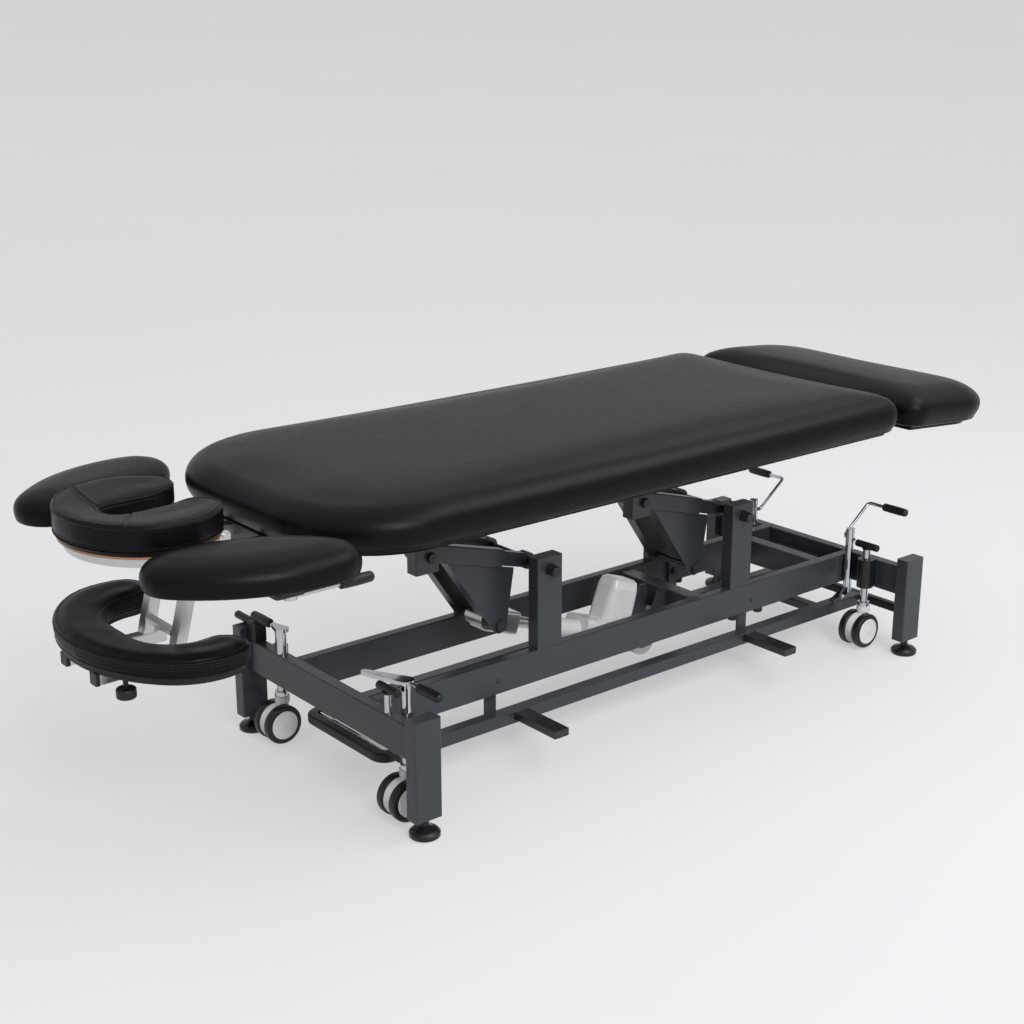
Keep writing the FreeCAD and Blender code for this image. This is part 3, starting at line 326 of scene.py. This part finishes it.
def cloudy_white():
    """White moulding of the wheel discs and caster hoods."""
    s = Shade("white_moulding", IOR=1.48, Coat_Weight=0.15, Coat_Roughness=0.15)
    tone = s.ramp(s.noise(24.0, 5.0), 0.35, 0.7)
    s.colour(s.mix(tone, (0.88, 0.88, 0.885), (0.93, 0.93, 0.935)))
    s.roughness(s.ramp(s.noise(70.0, 4.0), 0.3, 0.7, 0.28, 0.40))
    s.bump(s.noise(400.0, 2.0), 0.04, 0.0005)
    return s.mat


MATS = {
    "anthracite_steel": powder_coat(
        "anthracite_powder", (0.037, 0.042, 0.050), (0.041, 0.047, 0.056)),
    "black_plastic": plastic(
        "black_moulding", (0.008, 0.008, 0.009), (0.013, 0.013, 0.014),
        rough=0.27, grain=500.0, strength=0.06),
    "black_rubber": plastic(
        "black_rubber", (0.008, 0.008, 0.009), (0.014, 0.014, 0.015),
        rough=0.44, grain=340.0, strength=0.16),
    "chrome": chrome(),
    "dark_fastener": plastic(
        "blackened_steel", (0.014, 0.015, 0.017), (0.030, 0.031, 0.034),
        rough=0.36, grain=250.0, strength=0.12),
    "silver_steel": brushed("brushed_silver", "x"),
    "plywood": plywood(),
    "grey_plastic": plastic(
        "light_grey_moulding", (0.80, 0.81, 0.82), (0.87, 0.88, 0.89),
        rough=0.24, grain=300.0, strength=0.05),
    "white_plastic": cloudy_white(),
    "wheel_tyre": plastic(
        "tyre_rubber", (0.008, 0.008, 0.009), (0.013, 0.013, 0.014),
        rough=0.34, grain=260.0, strength=0.10),
    "black_upholstery": leather(
        "black_leather", (0.0030, 0.0030, 0.0034), (0.0050, 0.0050, 0.0055)),
}
THREAD = plastic(
    "thread", (0.018, 0.018, 0.020), (0.034, 0.034, 0.036),
    rough=0.55, grain=1800.0, strength=0.4)
BLACK_BOARD = plastic(
    "black_stained_board", (0.006, 0.006, 0.007), (0.011, 0.011, 0.012),
    rough=0.50, grain=180.0, strength=0.12)
BRUSHED_Z = brushed("brushed_silver_upright", "z")
DARK_STEEL = powder_coat("dark_powder", (0.020, 0.022, 0.025), (0.027, 0.029, 0.033))
# Painted shade: near-black steel that puts the silver armrest arms into the shadow under the
# armrests
SHADE_BLACK_STEEL = powder_coat("shade_black_powder", (0.009, 0.009, 0.010), (0.014, 0.014, 0.015))

# Nodes whose finish in the photograph is narrower than their material slot; the armrest arms
# instead get painted shade, near-black steel over their silver
SPECIAL = {
    "shelf_frame": BRUSHED_Z,
    "main_board": BLACK_BOARD,
    "foot_board": BLACK_BOARD,
    "shelf_board": BLACK_BOARD,
    # Painted shade: the silver armrest arms drawn near-black, as if in shadow
    "armrest_arm_near": SHADE_BLACK_STEEL,
    "armrest_arm_far": SHADE_BLACK_STEEL,
    "pedal_arms": DARK_STEEL,
    "guide_screws": MATS["dark_fastener"],
}


def paint_cad():
    for part in frame["record"]["subparts"]:
        data = nodes[part["node"]].data
        data.materials.clear()
        data.materials.append(SPECIAL.get(part["node"], MATS[part["material_slot"]]))


# Outlines in plan, in metres, as closed lists of points
def arc(cx, cy, r, start, end):
    n = max(3, int(abs(math.radians(end - start)) * r / OUTLINE_STEP))
    out = []
    for k in range(n):
        a = math.radians(start + (end - start) * k / n)
        out.append((cx + r * math.cos(a), cy + r * math.sin(a)))
    return out


def divide(p, q, n):
    return [(p[0] + (q[0] - p[0]) * k / n, p[1] + (q[1] - p[1]) * k / n) for k in range(n)]


def run(p, q, step=OUTLINE_STEP):
    return divide(p, q, max(2, int(math.hypot(q[0] - p[0], q[1] - p[1]) / step)))


def rounded_rings(x0, x1, half, a, b, levels, keep=0.0):
    """Rounded rectangles, one per (inset, height); a rounds the corners at x0, b those at x1.

    A corner keeps at least the given share of its radius, so a domed top has no creases.
    """
    rings = []
    for inset, z in levels:
        l, r, h = x0 + inset, x1 - inset, half - inset
        ra = min(max(a - inset, keep * a, CORNER_MIN), CORNER_SHARE * (r - l))
        rb = min(max(b - inset, keep * b, CORNER_MIN), CORNER_SHARE * (r - l))
        legs = [((l + ra, -h), (r - rb, -h), (r - rb, -h + rb), rb, -90)]
        legs += [((r, -h + rb), (r, h - rb), (r - rb, h - rb), rb, 0)]
        legs += [((r - rb, h), (l + ra, h), (l + ra, h - ra), ra, 90)]
        legs += [((l, h - ra), (l, -h + ra), (l + ra, -h + ra), ra, 180)]
        pts = []
        for (p, q, c, rad, start), n in zip(legs, SIDE_POINTS):
            pts += divide(p, q, n)
            for k in range(CORNER_POINTS):
                t = math.radians(start + 90.0 * k / CORNER_POINTS)
                pts.append((c[0] + rad * math.cos(t), c[1] + rad * math.sin(t)))
        rings.append((pts, z))
    return rings


def inset_rings(outline, levels):
    """One ring per (inset, height), drawn in along the outline's normals."""
    base = np.array(outline)
    normal = inward(outline)
    return [([tuple(p) for p in base + normal * inset], z) for inset, z in levels]


def oval(a, b, r, turn, cx, cy):
    """Oval of half length a and half width b, with ends of radius r, turned by degrees."""
    big = ((a - r) ** 2 + b * b - r * r) / (2.0 * (b - r))
    t = math.degrees(math.atan2(big - b, a - r))
    pts = arc(a - r, 0, r, -t, t) + arc(0, b - big, big, t, 180 - t)
    pts += arc(r - a, 0, r, 180 - t, 180 + t) + arc(0, big - b, big, 180 + t, 360 - t)
    c = math.cos(math.radians(turn))
    s = math.sin(math.radians(turn))
    return [(cx + x * c - y * s, cy + x * s + y * c) for x, y in pts]


def horseshoe(cx, a, b, side_r, slot, slot_r, slot_x, tip_x):
    """Ring open towards +X. Returns the points and a list that says which lie on the slot."""
    head_r = (a * a + (b - side_r) ** 2 - side_r * side_r) / (2.0 * (a - side_r))
    head_c = cx + head_r - a
    side_c = b - side_r
    rise = slot - side_c
    tip_r = (side_r ** 2 - (tip_x - cx) ** 2 - rise ** 2) / (2.0 * rise + 2.0 * side_r)
    tip_c = slot + tip_r
    join = math.degrees(math.atan2(side_c, cx - head_c))
    leave = math.degrees(math.atan2(tip_c - side_c, tip_x - cx))
    mid = slot - slot_r
    end = slot_x - slot_r
    pieces = [
        (arc(tip_x, tip_c, tip_r, leave, -90), 0),
        (run((tip_x, slot), (slot_x, slot)), 1),
        (arc(slot_x, mid, slot_r, 90, 180), 1),
        (run((end, mid), (end, -mid)), 1),
        (arc(slot_x, -mid, slot_r, 180, 270), 1),
        (run((slot_x, -slot), (tip_x, -slot)), 1),
        (arc(tip_x, -tip_c, tip_r, 90, -leave), 0),
        (arc(cx, -side_c, side_r, -leave, -join), 0),
        (arc(head_c, 0, head_r, 360 - join, join), 0),
        (arc(cx, side_c, side_r, join, leave), 0),
    ]
    pts = []
    inner = []
    for points, flag in pieces:
        pts += points
        inner += [flag] * len(points)
    # The list above runs clockwise, the others anticlockwise
    return pts[::-1], inner[::-1]


def inward(pts):
    """Unit normals that point into a closed anticlockwise outline."""
    p = np.array(pts)
    t = np.roll(p, -1, 0) - np.roll(p, 1, 0)
    t /= np.linalg.norm(t, axis=1)[:, None] + 1e-12
    return np.stack([-t[:, 1], t[:, 0]], 1)


def smooth_levels(levels, parts=4):
    """Smooth curve through the (inset, height) points of a cushion's profile."""
    p = [Vector(q) for q in levels]
    p = [p[0] * 2 - p[1]] + p + [p[-1] * 2 - p[-2]]
    out = []
    for a, b, c, d in zip(p, p[1:], p[2:], p[3:]):
        for k in range(parts):
            t = k / parts
            out.append(0.5 * (2 * b + (c - a) * t + (2 * a - 5 * b + 4 * c - d) * t * t
                              + (3 * b - a - 3 * c + d) * t * t * t))
    return out + [p[-2]]


# Meshes
def new_object(name, verts, faces, mat):
    mesh = bpy.data.meshes.new(name)
    mesh.from_pydata(verts, [], faces)
    mesh.update()
    mesh.polygons.foreach_set("use_smooth", [True] * len(mesh.polygons))
    ob = bpy.data.objects.new(name, mesh)
    ob.data.materials.append(mat)
    scene.collection.objects.link(ob)
    return ob


def skin(count, n, first=0):
    """Faces over a stack of rings of n points each, with a cap at either end."""
    faces = []
    for k in range(count - 1):
        a = first + k * n
        b = a + n
        for i in range(n):
            j = (i + 1) % n
            faces.append((a + i, a + j, b + j, b + i))
    faces.append(tuple(first + i for i in range(n))[::-1])
    faces.append(tuple(first + (count - 1) * n + i for i in range(n)))
    return faces


def stacked(rings):
    return [(x, y, z) for pts, z in rings for x, y in pts]


def loft(name, rings, mat):
    """Closed skin through rings of points, each at its own height."""
    return new_object(name, stacked(rings), skin(len(rings), len(rings[0][0])), mat)


def coords(mesh):
    co = np.empty(len(mesh.vertices) * 3)
    mesh.vertices.foreach_get("co", co)
    return co.reshape(-1, 3)


def put(mesh, co):
    mesh.vertices.foreach_set("co", np.ascontiguousarray(co, dtype=np.float64).ravel())
    mesh.update()


def normals(mesh):
    n = np.empty(len(mesh.vertices) * 3)
    mesh.vertices.foreach_get("normal", n)
    return n.reshape(-1, 3)


def bake(ob):
    """Keeps the shape that the modifiers give and drops the modifiers."""
    graph = bpy.context.evaluated_depsgraph_get()
    graph.update()
    mesh = bpy.data.meshes.new_from_object(ob.evaluated_get(graph))
    old = ob.data
    ob.modifiers.clear()
    ob.data = mesh
    bpy.data.meshes.remove(old)
    mesh.name = ob.name
    mesh.polygons.foreach_set("use_smooth", [True] * len(mesh.polygons))
    mesh.update()


def remesh(ob, voxel, rounds):
    m = ob.modifiers.new("remesh", "REMESH")
    m.mode = "VOXEL"
    m.voxel_size = voxel
    m.use_smooth_shade = True
    s = ob.modifiers.new("smooth", "SMOOTH")
    s.factor = 0.5
    s.iterations = rounds
    bake(ob)


def subdivide(ob):
    m = ob.modifiers.new("subdivision", "SUBSURF")
    m.levels = 1
    m.render_levels = 1
    bake(ob)


# Cushions
def inflate(ob, pins, cap, pressure, rounds):
    """Taut cloth with air pressure inside; each point may move by no more than the cap.

    The rounds even the movement out along the mesh, as firm foam under the cover does.
    """
    start = coords(ob.data)
    group = ob.vertex_groups.new(name="pin")
    group.add([int(i) for i in np.nonzero(pins)[0]], 1.0, "REPLACE")
    cloth = ob.modifiers.new("cloth", "CLOTH")
    cfg = cloth.settings
    for key, value in CLOTH.items():
        setattr(cfg, key, value)
    cfg.uniform_pressure_force = pressure
    cfg.vertex_group_mass = "pin"
    cfg.effector_weights.gravity = 0.0
    cloth.point_cache.frame_start = 1
    cloth.point_cache.frame_end = CLOTH_FRAMES
    for f in range(1, CLOTH_FRAMES + 1):
        scene.frame_set(f)
    graph = bpy.context.evaluated_depsgraph_get()
    mesh = ob.evaluated_get(graph).to_mesh()
    move = coords(mesh) - start
    ob.evaluated_get(graph).to_mesh_clear()
    ob.modifiers.clear()
    ob.vertex_groups.clear()
    ends = np.array([e.vertices[:] for e in ob.data.edges])
    count = np.bincount(ends.ravel(), minlength=len(start))[:, None] + 1e-9
    for _ in range(rounds):
        total = np.zeros_like(move)
        np.add.at(total, ends[:, 0], move[ends[:, 1]])
        np.add.at(total, ends[:, 1], move[ends[:, 0]])
        move = OWN_SHARE * move + NEIGHBOUR_SHARE * total / count
        move[pins] = 0.0
    length = np.linalg.norm(move, axis=1)[:, None] + 1e-9
    put(ob.data, start + move / length * cap * np.tanh(length / cap))
    scene.frame_set(1)


def tree_of(points):
    t = kdtree.KDTree(len(points))
    for i, p in enumerate(points):
        t.insert((p[0], p[1], 0.0), i)
    t.balance()
    return t


def plan_distance(co, tree):
    return np.array([tree.find((p[0], p[1], 0.0))[2] for p in co])


def dent(q, depth, width):
    return -depth * np.exp(-(q / width) ** 2)


def ridge(q, height, centre, width):
    return height * np.exp(-((q - centre) / width) ** 2)


def ripple(co, sx, sy, sz, off=0.0):
    """Smooth noise at each point, with its own scale along each axis."""
    return np.array([noise.noise(Vector((p[0] * sx, p[1] * sy, p[2] * sz + off))) for p in co])


def soft_profile(z0, height, under, over, crown, spread):
    """Cover drawn in under the board, full round edge, slightly crowned top."""
    wide = z0 + 0.46 * height
    top = z0 + height - PAD_SHRINK
    levels = []
    for k in range(9):
        a = math.radians(90 - 10 * k)
        levels.append((under * (1 - math.cos(a)), wide - (wide - z0) * math.sin(a)))
    for k in range(9):
        a = math.radians(9 * k)
        levels.append((over * (1 - math.cos(a)), wide + (top - wide) * math.sin(a)))
    for f in (0.2, 0.45, 0.7, 0.88, 1.0):
        levels.append((over + f * spread, top + crown * (1 - (1 - f) ** 2)))
    return [(i + PAD_SHRINK, z) for i, z in smooth_levels(levels, 2)]


def drop(ob):
    """Turns a piece of the foot section about its hinge, to the slope it has at rest."""
    c = math.cos(math.radians(FOOT_DROP))
    s = math.sin(math.radians(FOOT_DROP))
    co = coords(ob.data)
    x = co[:, 0] - FOOT_HINGE[0]
    z = co[:, 2] - FOOT_HINGE[1]
    co[:, 0] = FOOT_HINGE[0] + x * c + z * s
    co[:, 2] = FOOT_HINGE[1] - x * s + z * c
    put(ob.data, co)


def smooth_pad(name, node, body, rings, z0, voxel, cap, rounds):
    """Firm pad in one stretched cover, swollen by air pressure and held at its board."""
    ob = loft(name, rings, MATS["black_upholstery"])
    remesh(ob, voxel, 10)
    co = coords(ob.data)
    inflate(ob, co[:, 2] < z0 + 0.006, cap, PAD_PRESSURE, rounds)
    co = coords(ob.data)
    n = normals(ob.data)
    co += n * (ripple(co, 5, 5, 5) * 0.0006)[:, None]
    co[:, 2] = np.maximum(co[:, 2], z0)
    put(ob.data, co)
    if body == "foot_section":
        drop(ob)
    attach(ob, body)
    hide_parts(node)


def stitch_line(path, surface, verts, faces):
    """One row of short raised stitches along a path that is laid on the surface."""
    pts = [Vector(p) for p in path]
    dist = [0.0]
    for a, b in zip(pts, pts[1:]):
        dist.append(dist[-1] + (b - a).length)

    def at(s):
        s = min(max(s, 0.0), dist[-1] - 1e-6)
        k = int(np.searchsorted(dist, s, side="right")) - 1
        f = (s - dist[k]) / max(dist[k + 1] - dist[k], 1e-9)
        return pts[k].lerp(pts[k + 1], f)

    for i in range(int(dist[-1] / STITCH_PITCH)):
        s0 = (i + 0.5) * STITCH_PITCH - STITCH_LENGTH / 2
        ring = []
        for j, rise, size in STITCH_SHAPE:
            p, n, _, _ = surface.find_nearest(at(s0 + STITCH_LENGTH * j))
            ring.append((p + n * rise * STITCH_RADIUS, n, size * STITCH_RADIUS))
        head = (ring[-1][0] - ring[0][0]).normalized()
        faces += skin(len(ring), STITCH_SIDES, len(verts))
        for p, n, r in ring:
            side = head.cross(n).normalized()
            up = side.cross(head)
            for k in range(STITCH_SIDES):
                a = math.pi / 3 * k
                verts.append(p + (side * math.cos(a) + up * math.sin(a)) * r)


def boxed_pad(name, node, body, shape, z0, height, crown, width, dip, cross, rows, step):
    """Horseshoe cushion with a sewn wall, a stitched rim seam and seams across the top panel.

    The rim lies one step below the top, and the top dips towards the slot.
    """
    outline, inner = shape
    top = z0 + height
    rim = top - step
    levels = [
        (0.006, z0), (0.002, z0 + 0.005), (0.0, z0 + 0.30 * height),
        (0.0005, z0 + 0.65 * height), (0.0025, rim - 0.004), (0.0060, rim + 0.001),
        (0.013, top - 0.3 * step), (0.20 * width, top + 0.6 * crown), (0.30 * width, top + crown),
    ]
    levels = [(i + BOX_SHRINK, z) for i, z in smooth_levels(levels)]
    ob = loft(name, inset_rings(outline, levels), MATS["black_upholstery"])
    remesh(ob, BOX_VOXEL, 4)
    outer_tree = tree_of([p for p, f in zip(outline, inner) if not f])
    inner_tree = tree_of([p for p, f in zip(outline, inner) if f])
    all_tree = tree_of(outline)

    def across(co):
        a = plan_distance(co, outer_tree)
        b = plan_distance(co, inner_tree)
        f = np.clip(a / (a + b + 1e-9), 0.0, 1.0)
        return f * f * (3 - 2 * f)

    def rim_gap(co):
        d = plan_distance(co, all_tree)
        return np.hypot(d - SEAM_INSET, co[:, 2] - rim), d

    co = coords(ob.data)
    q, d = rim_gap(co)
    inflate(ob, (co[:, 2] < z0 + 0.003) | (q < 0.0035), BOX_CAP, BOX_PRESSURE, BOX_ROUNDS)
    subdivide(ob)

    # Rim seam with its stitch grooves, puckers, and the seam at the foot of the wall
    co = coords(ob.data)
    n = normals(ob.data)
    q, d = rim_gap(co)
    push = dent(q, *RIM_SEAM) + ridge(q, *RIM_RIDGE)
    over = (co[:, 2] > rim + 0.001) & (d > SEAM_INSET)
    push += np.where(over, dent(d - SEAM_INSET - STITCH_OFF, *STITCH_GROOVE), 0.0)
    below = dent(co[:, 2] - rim + STITCH_OFF, *STITCH_GROOVE)
    push += np.where(co[:, 2] < rim, below, 0.0)
    pucker = ripple(co, 85, 85, 30)
    broad = ripple(co, 26, 26, 26, 3.0)
    push += 0.0003 * pucker * np.exp(-(q / 0.012) ** 2) + 0.0004 * broad * (co[:, 2] > z0 + 0.008)
    push += dent(co[:, 2] - z0 - 0.009, *FOOT_SEAM) * (co[:, 2] < rim)

    # Seams across the top panel
    seams = []
    for path in cross:
        line = []
        for a, b in zip(path, path[1:]):
            line += run(a, b, SEAM_STEP)
        line.append(path[-1])
        s = plan_distance(co, tree_of(line))
        upper = 1.0 / (1.0 + np.exp(-(co[:, 2] - rim) / 0.0012))
        push += upper * (dent(s, *CROSS_SEAM) + ridge(s, *CROSS_RIDGE))
        seams.append(line)
    co += n * push[:, None]
    f = across(co)
    co[:, 2] -= dip * f * np.clip((co[:, 2] - z0) / height, 0.0, 1.2)
    co[:, 2] = np.maximum(co[:, 2], z0)
    put(ob.data, co)
    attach(ob, body)
    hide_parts(node)

    # Stitching beside the rim seam and on both sides of the seams across the top
    mesh = ob.data
    surface = BVHTree.FromPolygons([v.co for v in mesh.vertices],
                                   [p.vertices for p in mesh.polygons])
    verts = []
    faces = []
    base = np.array(outline + outline[:1])
    nrm = inward(outline)
    nrm = np.vstack([nrm, nrm[:1]])
    for inset, z in rows(top, rim):
        pts = [(x, y, z) for x, y in base + nrm * inset]
        sink = dip * across(np.array(pts))
        pts = [(x, y, z - h) for (x, y, z), h in zip(pts, sink)]
        stitch_line(pts, surface, verts, faces)
    for line in seams:
        p = np.array(line)
        t = np.gradient(p, axis=0)
        t /= np.linalg.norm(t, axis=1)[:, None]
        for off in (-CROSS_STITCH_OFF, CROSS_STITCH_OFF):
            pts = [(x - b * off, y + a * off, top + crown) for (x, y), (a, b) in zip(p, t)]
            pts = [q for q in pts if all_tree.find((q[0], q[1], 0.0))[2] > CROSS_STITCH_EDGE]
            stitch_line(pts, surface, verts, faces)
    thread = new_object(name.replace("cushion", "stitching"), verts, faces, THREAD)
    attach(thread, body)


def twin_rows(top, rim):
    """Stitch rows as (inset, height): one on the top panel, one on the wall."""
    return (SEAM_INSET + STITCH_OFF, top + 0.001), (-0.0005, rim - STITCH_OFF)


def triple_rows(top, rim):
    """Stitch rows as (inset, height): three on the wall."""
    return (-0.0005, rim - 0.0050), (-0.0005, rim - 0.0105), (-0.0005, rim - 0.0160)


def hem(name, body, ringer, z, inset, depth, turn=0.0100):
    """Cover drawn round the board's edge and a little under it."""
    levels = [
        (inset - 0.0060, z + 0.0012), (inset - 0.0036, z - 0.0010), (inset - 0.0022, z - 0.0040),
        (inset - 0.0016, z - depth + 0.0020), (inset - 0.0006, z - depth - 0.0003),
    ]
    if turn:
        levels += [(inset + 0.0025, z - depth - 0.0008), (inset + turn, z - depth - 0.0009)]
    prof = [tuple(p) for p in smooth_levels(levels, 2)]
    rings = ringer(prof + [(i + 0.0006, h + 0.0006) for i, h in prof[::-1]])
    n = len(rings[0][0])
    m = len(rings)
    faces = []
    for k in range(m):
        b = (k + 1) % m
        for i in range(n):
            j = (i + 1) % n
            faces.append((b * n + i, b * n + j, k * n + j, k * n + i))
    ob = new_object(name, stacked(rings), faces, MATS["black_upholstery"])
    co = coords(ob.data)
    co[:, 2] += ripple(co, 60, 60, 0, 1.0) * 0.0003
    put(ob.data, co)
    if body == "foot_section":
        drop(ob)
    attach(ob, body)


# Turned pieces: profile of (distance along the axis, radius)
def turned(name, body, slot, origin, axis, profile, sides=40):
    axis = Vector(axis).normalized()
    u = axis.orthogonal().normalized()
    v = axis.cross(u)
    origin = Vector(origin)
    verts = []
    for s, r in profile:
        for k in range(sides):
            a = 2 * math.pi * k / sides
            verts.append(origin + axis * s + (u * math.cos(a) + v * math.sin(a)) * r)
    ob = new_object(name, verts, skin(len(profile), sides), MATS[slot])
    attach(ob, body)


def grip(name, body, start, axis):
    """Moulded lever grip: collar at the neck, slight swell, fine rings, domed end."""
    r = GRIP_RADIUS
    prof = [
        (-0.0015, r * 0.55), (-0.0012, r * 0.86), (0.0006, r * 0.97),
        (0.0040, r * 0.97), (0.0052, r * 0.90),
    ]
    body_len = GRIP_LENGTH - 0.0060
    for k in range(25):
        t = k / 24.0
        swell = 0.93 + 0.10 * math.sin(math.pi * (0.15 + 0.75 * t))
        ring = -0.012 if k % 2 and 3 < k < 21 else 0.0
        prof.append((0.0064 + (body_len - 0.0064) * t, r * (swell + ring)))
    last = prof[-1][1]
    for k in range(1, 6):
        a = math.pi / 2 * k / 5.2
        prof.append((body_len + 0.0066 * math.sin(a), last * (0.35 + 0.65 * math.cos(a))))
    turned(name, body, "black_rubber", start, axis, prof)


def add_grips():
    for side, sign in SIDES:
        low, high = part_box("crank_foot_" + side)
        tip = low.y if sign < 0 else high.y
        start = (high.x - BAR_HALF, tip - sign * GRIP_REACH, high.z - BAR_HALF)
        grip("crank_grip_" + side, "crank_foot_" + side, start, (0, sign, 0))
        low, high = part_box("armrest_lever_" + side)
        y = low.y + ARM_LEVER_IN if sign < 0 else high.y - ARM_LEVER_IN
        start = (high.x - GRIP_REACH, y, high.z - BAR_HALF)
        grip("armrest_grip_" + side, "armrest_lever_" + side, start, (1, 0, 0))
    for side, sign in SIDES:
        low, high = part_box("lever_head_" + side)
        tip = low.y if sign < 0 else high.y
        start = (LEVER_X[side], tip - sign * GRIP_REACH, 0.5 * (low.z + high.z))
        grip("lever_grip_" + side, "lever_head_" + side, start, (0, sign, 0))


def add_hubs():
    """White discs on the outer faces of the wheels."""
    for end in ("head", "foot"):
        for side, _ in SIDES:
            n = end + "_" + side
            low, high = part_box("caster_wheels_" + n)
            mid = 0.5 * (low + high)
            for tag, y, sign in (("a", low.y, -1), ("b", high.y, 1)):
                turned("hub_%s_%s" % (n, tag), "wheels_" + n, "white_plastic",
                       (mid.x, y, mid.z), (0, sign, 0), HUB_PROFILE, HUB_SIDES)


# Floor, light and background
def add_floor():
    s = Shade("studio_floor", Roughness=0.9, Specular_IOR_Level=0.0)
    tone = s.ramp(s.noise(0.6, 2.0), 0.3, 0.7)
    s.colour(s.mix(tone, (0.325, 0.328, 0.336), (0.335, 0.338, 0.346)))
    s.bsdf.inputs["Emission Color"].default_value = FLOOR_TINT
    path = s.node("ShaderNodeLightPath")
    seen = s.math("ADD", path.outputs["Is Camera Ray"], path.outputs["Is Glossy Ray"])
    seen = s.math("MINIMUM", s.math("ADD", seen, path.outputs["Is Transmission Ray"]), 1.0)
    s.link(s.math("MULTIPLY", seen, FLOOR_GLOW), s.bsdf.inputs["Emission Strength"])
    n = FLOOR_SIDES
    verts = []
    faces = []
    for r, z in FLOOR_ROWS:
        for k in range(n):
            a = 2 * math.pi * k / n
            verts.append((r * math.cos(a), r * math.sin(a), z))
    for k in range(len(FLOOR_ROWS) - 1):
        for i in range(n):
            j = (i + 1) % n
            faces.append((k * n + i, (k + 1) * n + i, (k + 1) * n + j, k * n + j))
    faces.append(tuple(range(n)))
    new_object("floor", verts, faces, s.mat)


def add_light():
    """World that brightens with height, and two soft lamps."""
    world = bpy.data.worlds.new("studio")
    scene.world = world
    world.use_nodes = True
    tree = world.node_tree
    back = tree.nodes["Background"]
    back.inputs["Color"].default_value = WORLD_TINT
    coord = tree.nodes.new("ShaderNodeTexCoord")
    split = tree.nodes.new("ShaderNodeSeparateXYZ")
    level = tree.nodes.new("ShaderNodeMapRange")
    level.inputs["From Min"].default_value = 0.0
    level.inputs["From Max"].default_value = WORLD_TOP
    level.inputs["To Min"].default_value, level.inputs["To Max"].default_value = WORLD_STRENGTH
    tree.links.new(coord.outputs["Generated"], split.inputs["Vector"])
    tree.links.new(split.outputs["Z"], level.inputs["Value"])
    tree.links.new(level.outputs["Result"], back.inputs["Strength"])
    for name, place, size, power in LAMPS:
        data = bpy.data.lights.new(name, "AREA")
        data.shape = "RECTANGLE"
        data.size, data.size_y = size
        data.energy = power
        lamp = bpy.data.objects.new(name, data)
        lamp.location = place
        aim = Vector(LAMP_AIM) - lamp.location
        lamp.rotation_euler = aim.to_track_quat("-Z", "Y").to_euler()
        scene.collection.objects.link(lamp)


# Pads as (x0, x1, half width, corner radius at x0, at x1), and their rounder soft covers
MAIN = (-0.974 + SHIFT, 0.654 + SHIFT, 0.380, 0.250, 0.034)
FOOT = (0.662 + SHIFT, 1.030 + SHIFT, 0.380, 0.034, 0.140)
SOFT_MAIN = MAIN[:4] + (0.064,)
SOFT_FOOT = FOOT[:3] + (0.060, 0.140)
ARM_NEAR = oval(0.202, 0.107, 0.078, -22.0, -1.108 + SHIFT, -0.309)
ARM_FAR = [(x, -y) for x, y in ARM_NEAR][::-1]
CRADLE_X = -1.167 + SHIFT
CRADLE = horseshoe(CRADLE_X, a=0.157, b=0.184, side_r=0.140, slot=0.038, slot_r=0.030,
                   slot_x=CRADLE_X - 0.036, tip_x=CRADLE_X + 0.067)
SHELF_X = -1.138 + SHIFT
SHELF = horseshoe(SHELF_X, a=0.192, b=0.256, side_r=0.150, slot=0.140, slot_r=0.095,
                  slot_x=SHELF_X + 0.018, tip_x=SHELF_X + 0.020)
FAR_SEAM = [(-0.064, 0.0), (-0.067, 0.060), (-0.065, 0.112), (-0.053, 0.176)]
NEAR_SEAM = [(-0.030, -0.036), (-0.075, -0.108), (-0.0995, -0.150)]
CRADLE_SEAMS = [[(CRADLE_X + x, y) for x, y in seam] for seam in (FAR_SEAM, NEAR_SEAM)]

set_camera()
paint_cad()
TOP_PROFILE = soft_profile(
    PAD_Z, height=0.091, under=0.034, over=0.064, crown=0.004, spread=0.130)
FOOT_PROFILE = soft_profile(
    PAD_Z, height=0.092, under=0.034, over=0.118, crown=0.002, spread=0.040)
ARM_PROFILE = soft_profile(
    ARM_Z, height=0.058, under=0.018, over=0.036, crown=0.005, spread=0.044)
smooth_pad("main_cushion", "main_pad", "top",
           rounded_rings(*SOFT_MAIN, TOP_PROFILE, CORNER_KEEP),
           PAD_Z, voxel=0.007, cap=0.006, rounds=80)
smooth_pad("foot_cushion", "foot_pad", "foot_section",
           rounded_rings(*SOFT_FOOT, FOOT_PROFILE, CORNER_KEEP),
           PAD_Z, voxel=0.006, cap=0.006, rounds=90)
for side, outline in (("near", ARM_NEAR), ("far", ARM_FAR)):
    smooth_pad("armrest_cushion_" + side, "armrest_pad_" + side, "armrest_" + side,
               inset_rings(outline, ARM_PROFILE), ARM_Z, voxel=0.005, cap=0.005, rounds=80)
boxed_pad("cradle_cushion", "cradle_pad", "cradle", CRADLE, CRADLE_Z, height=0.057, crown=0.002,
          width=0.112, dip=0.010, cross=CRADLE_SEAMS, rows=twin_rows, step=0.0065)
boxed_pad("shelf_cushion", "shelf_pad", "shelf", SHELF, SHELF_Z, height=0.045, crown=0.004,
          width=0.113, dip=0.009, cross=[], rows=triple_rows, step=0.009)
hem("main_hem", "top", lambda levels: rounded_rings(*MAIN, levels),
    PAD_Z, BOARD_INSET, BOARD_DEPTH)
hem("foot_hem", "foot_section", lambda levels: rounded_rings(*FOOT, levels),
    PAD_Z, BOARD_INSET, BOARD_DEPTH)
hem("cradle_hem", "cradle", lambda levels: inset_rings(CRADLE[0], levels),
    CRADLE_Z, PLY_INSET, PLY_HEM, turn=0.0)
add_grips()
add_hubs()
add_floor()
add_light()
scene.view_settings.view_transform = "Standard"
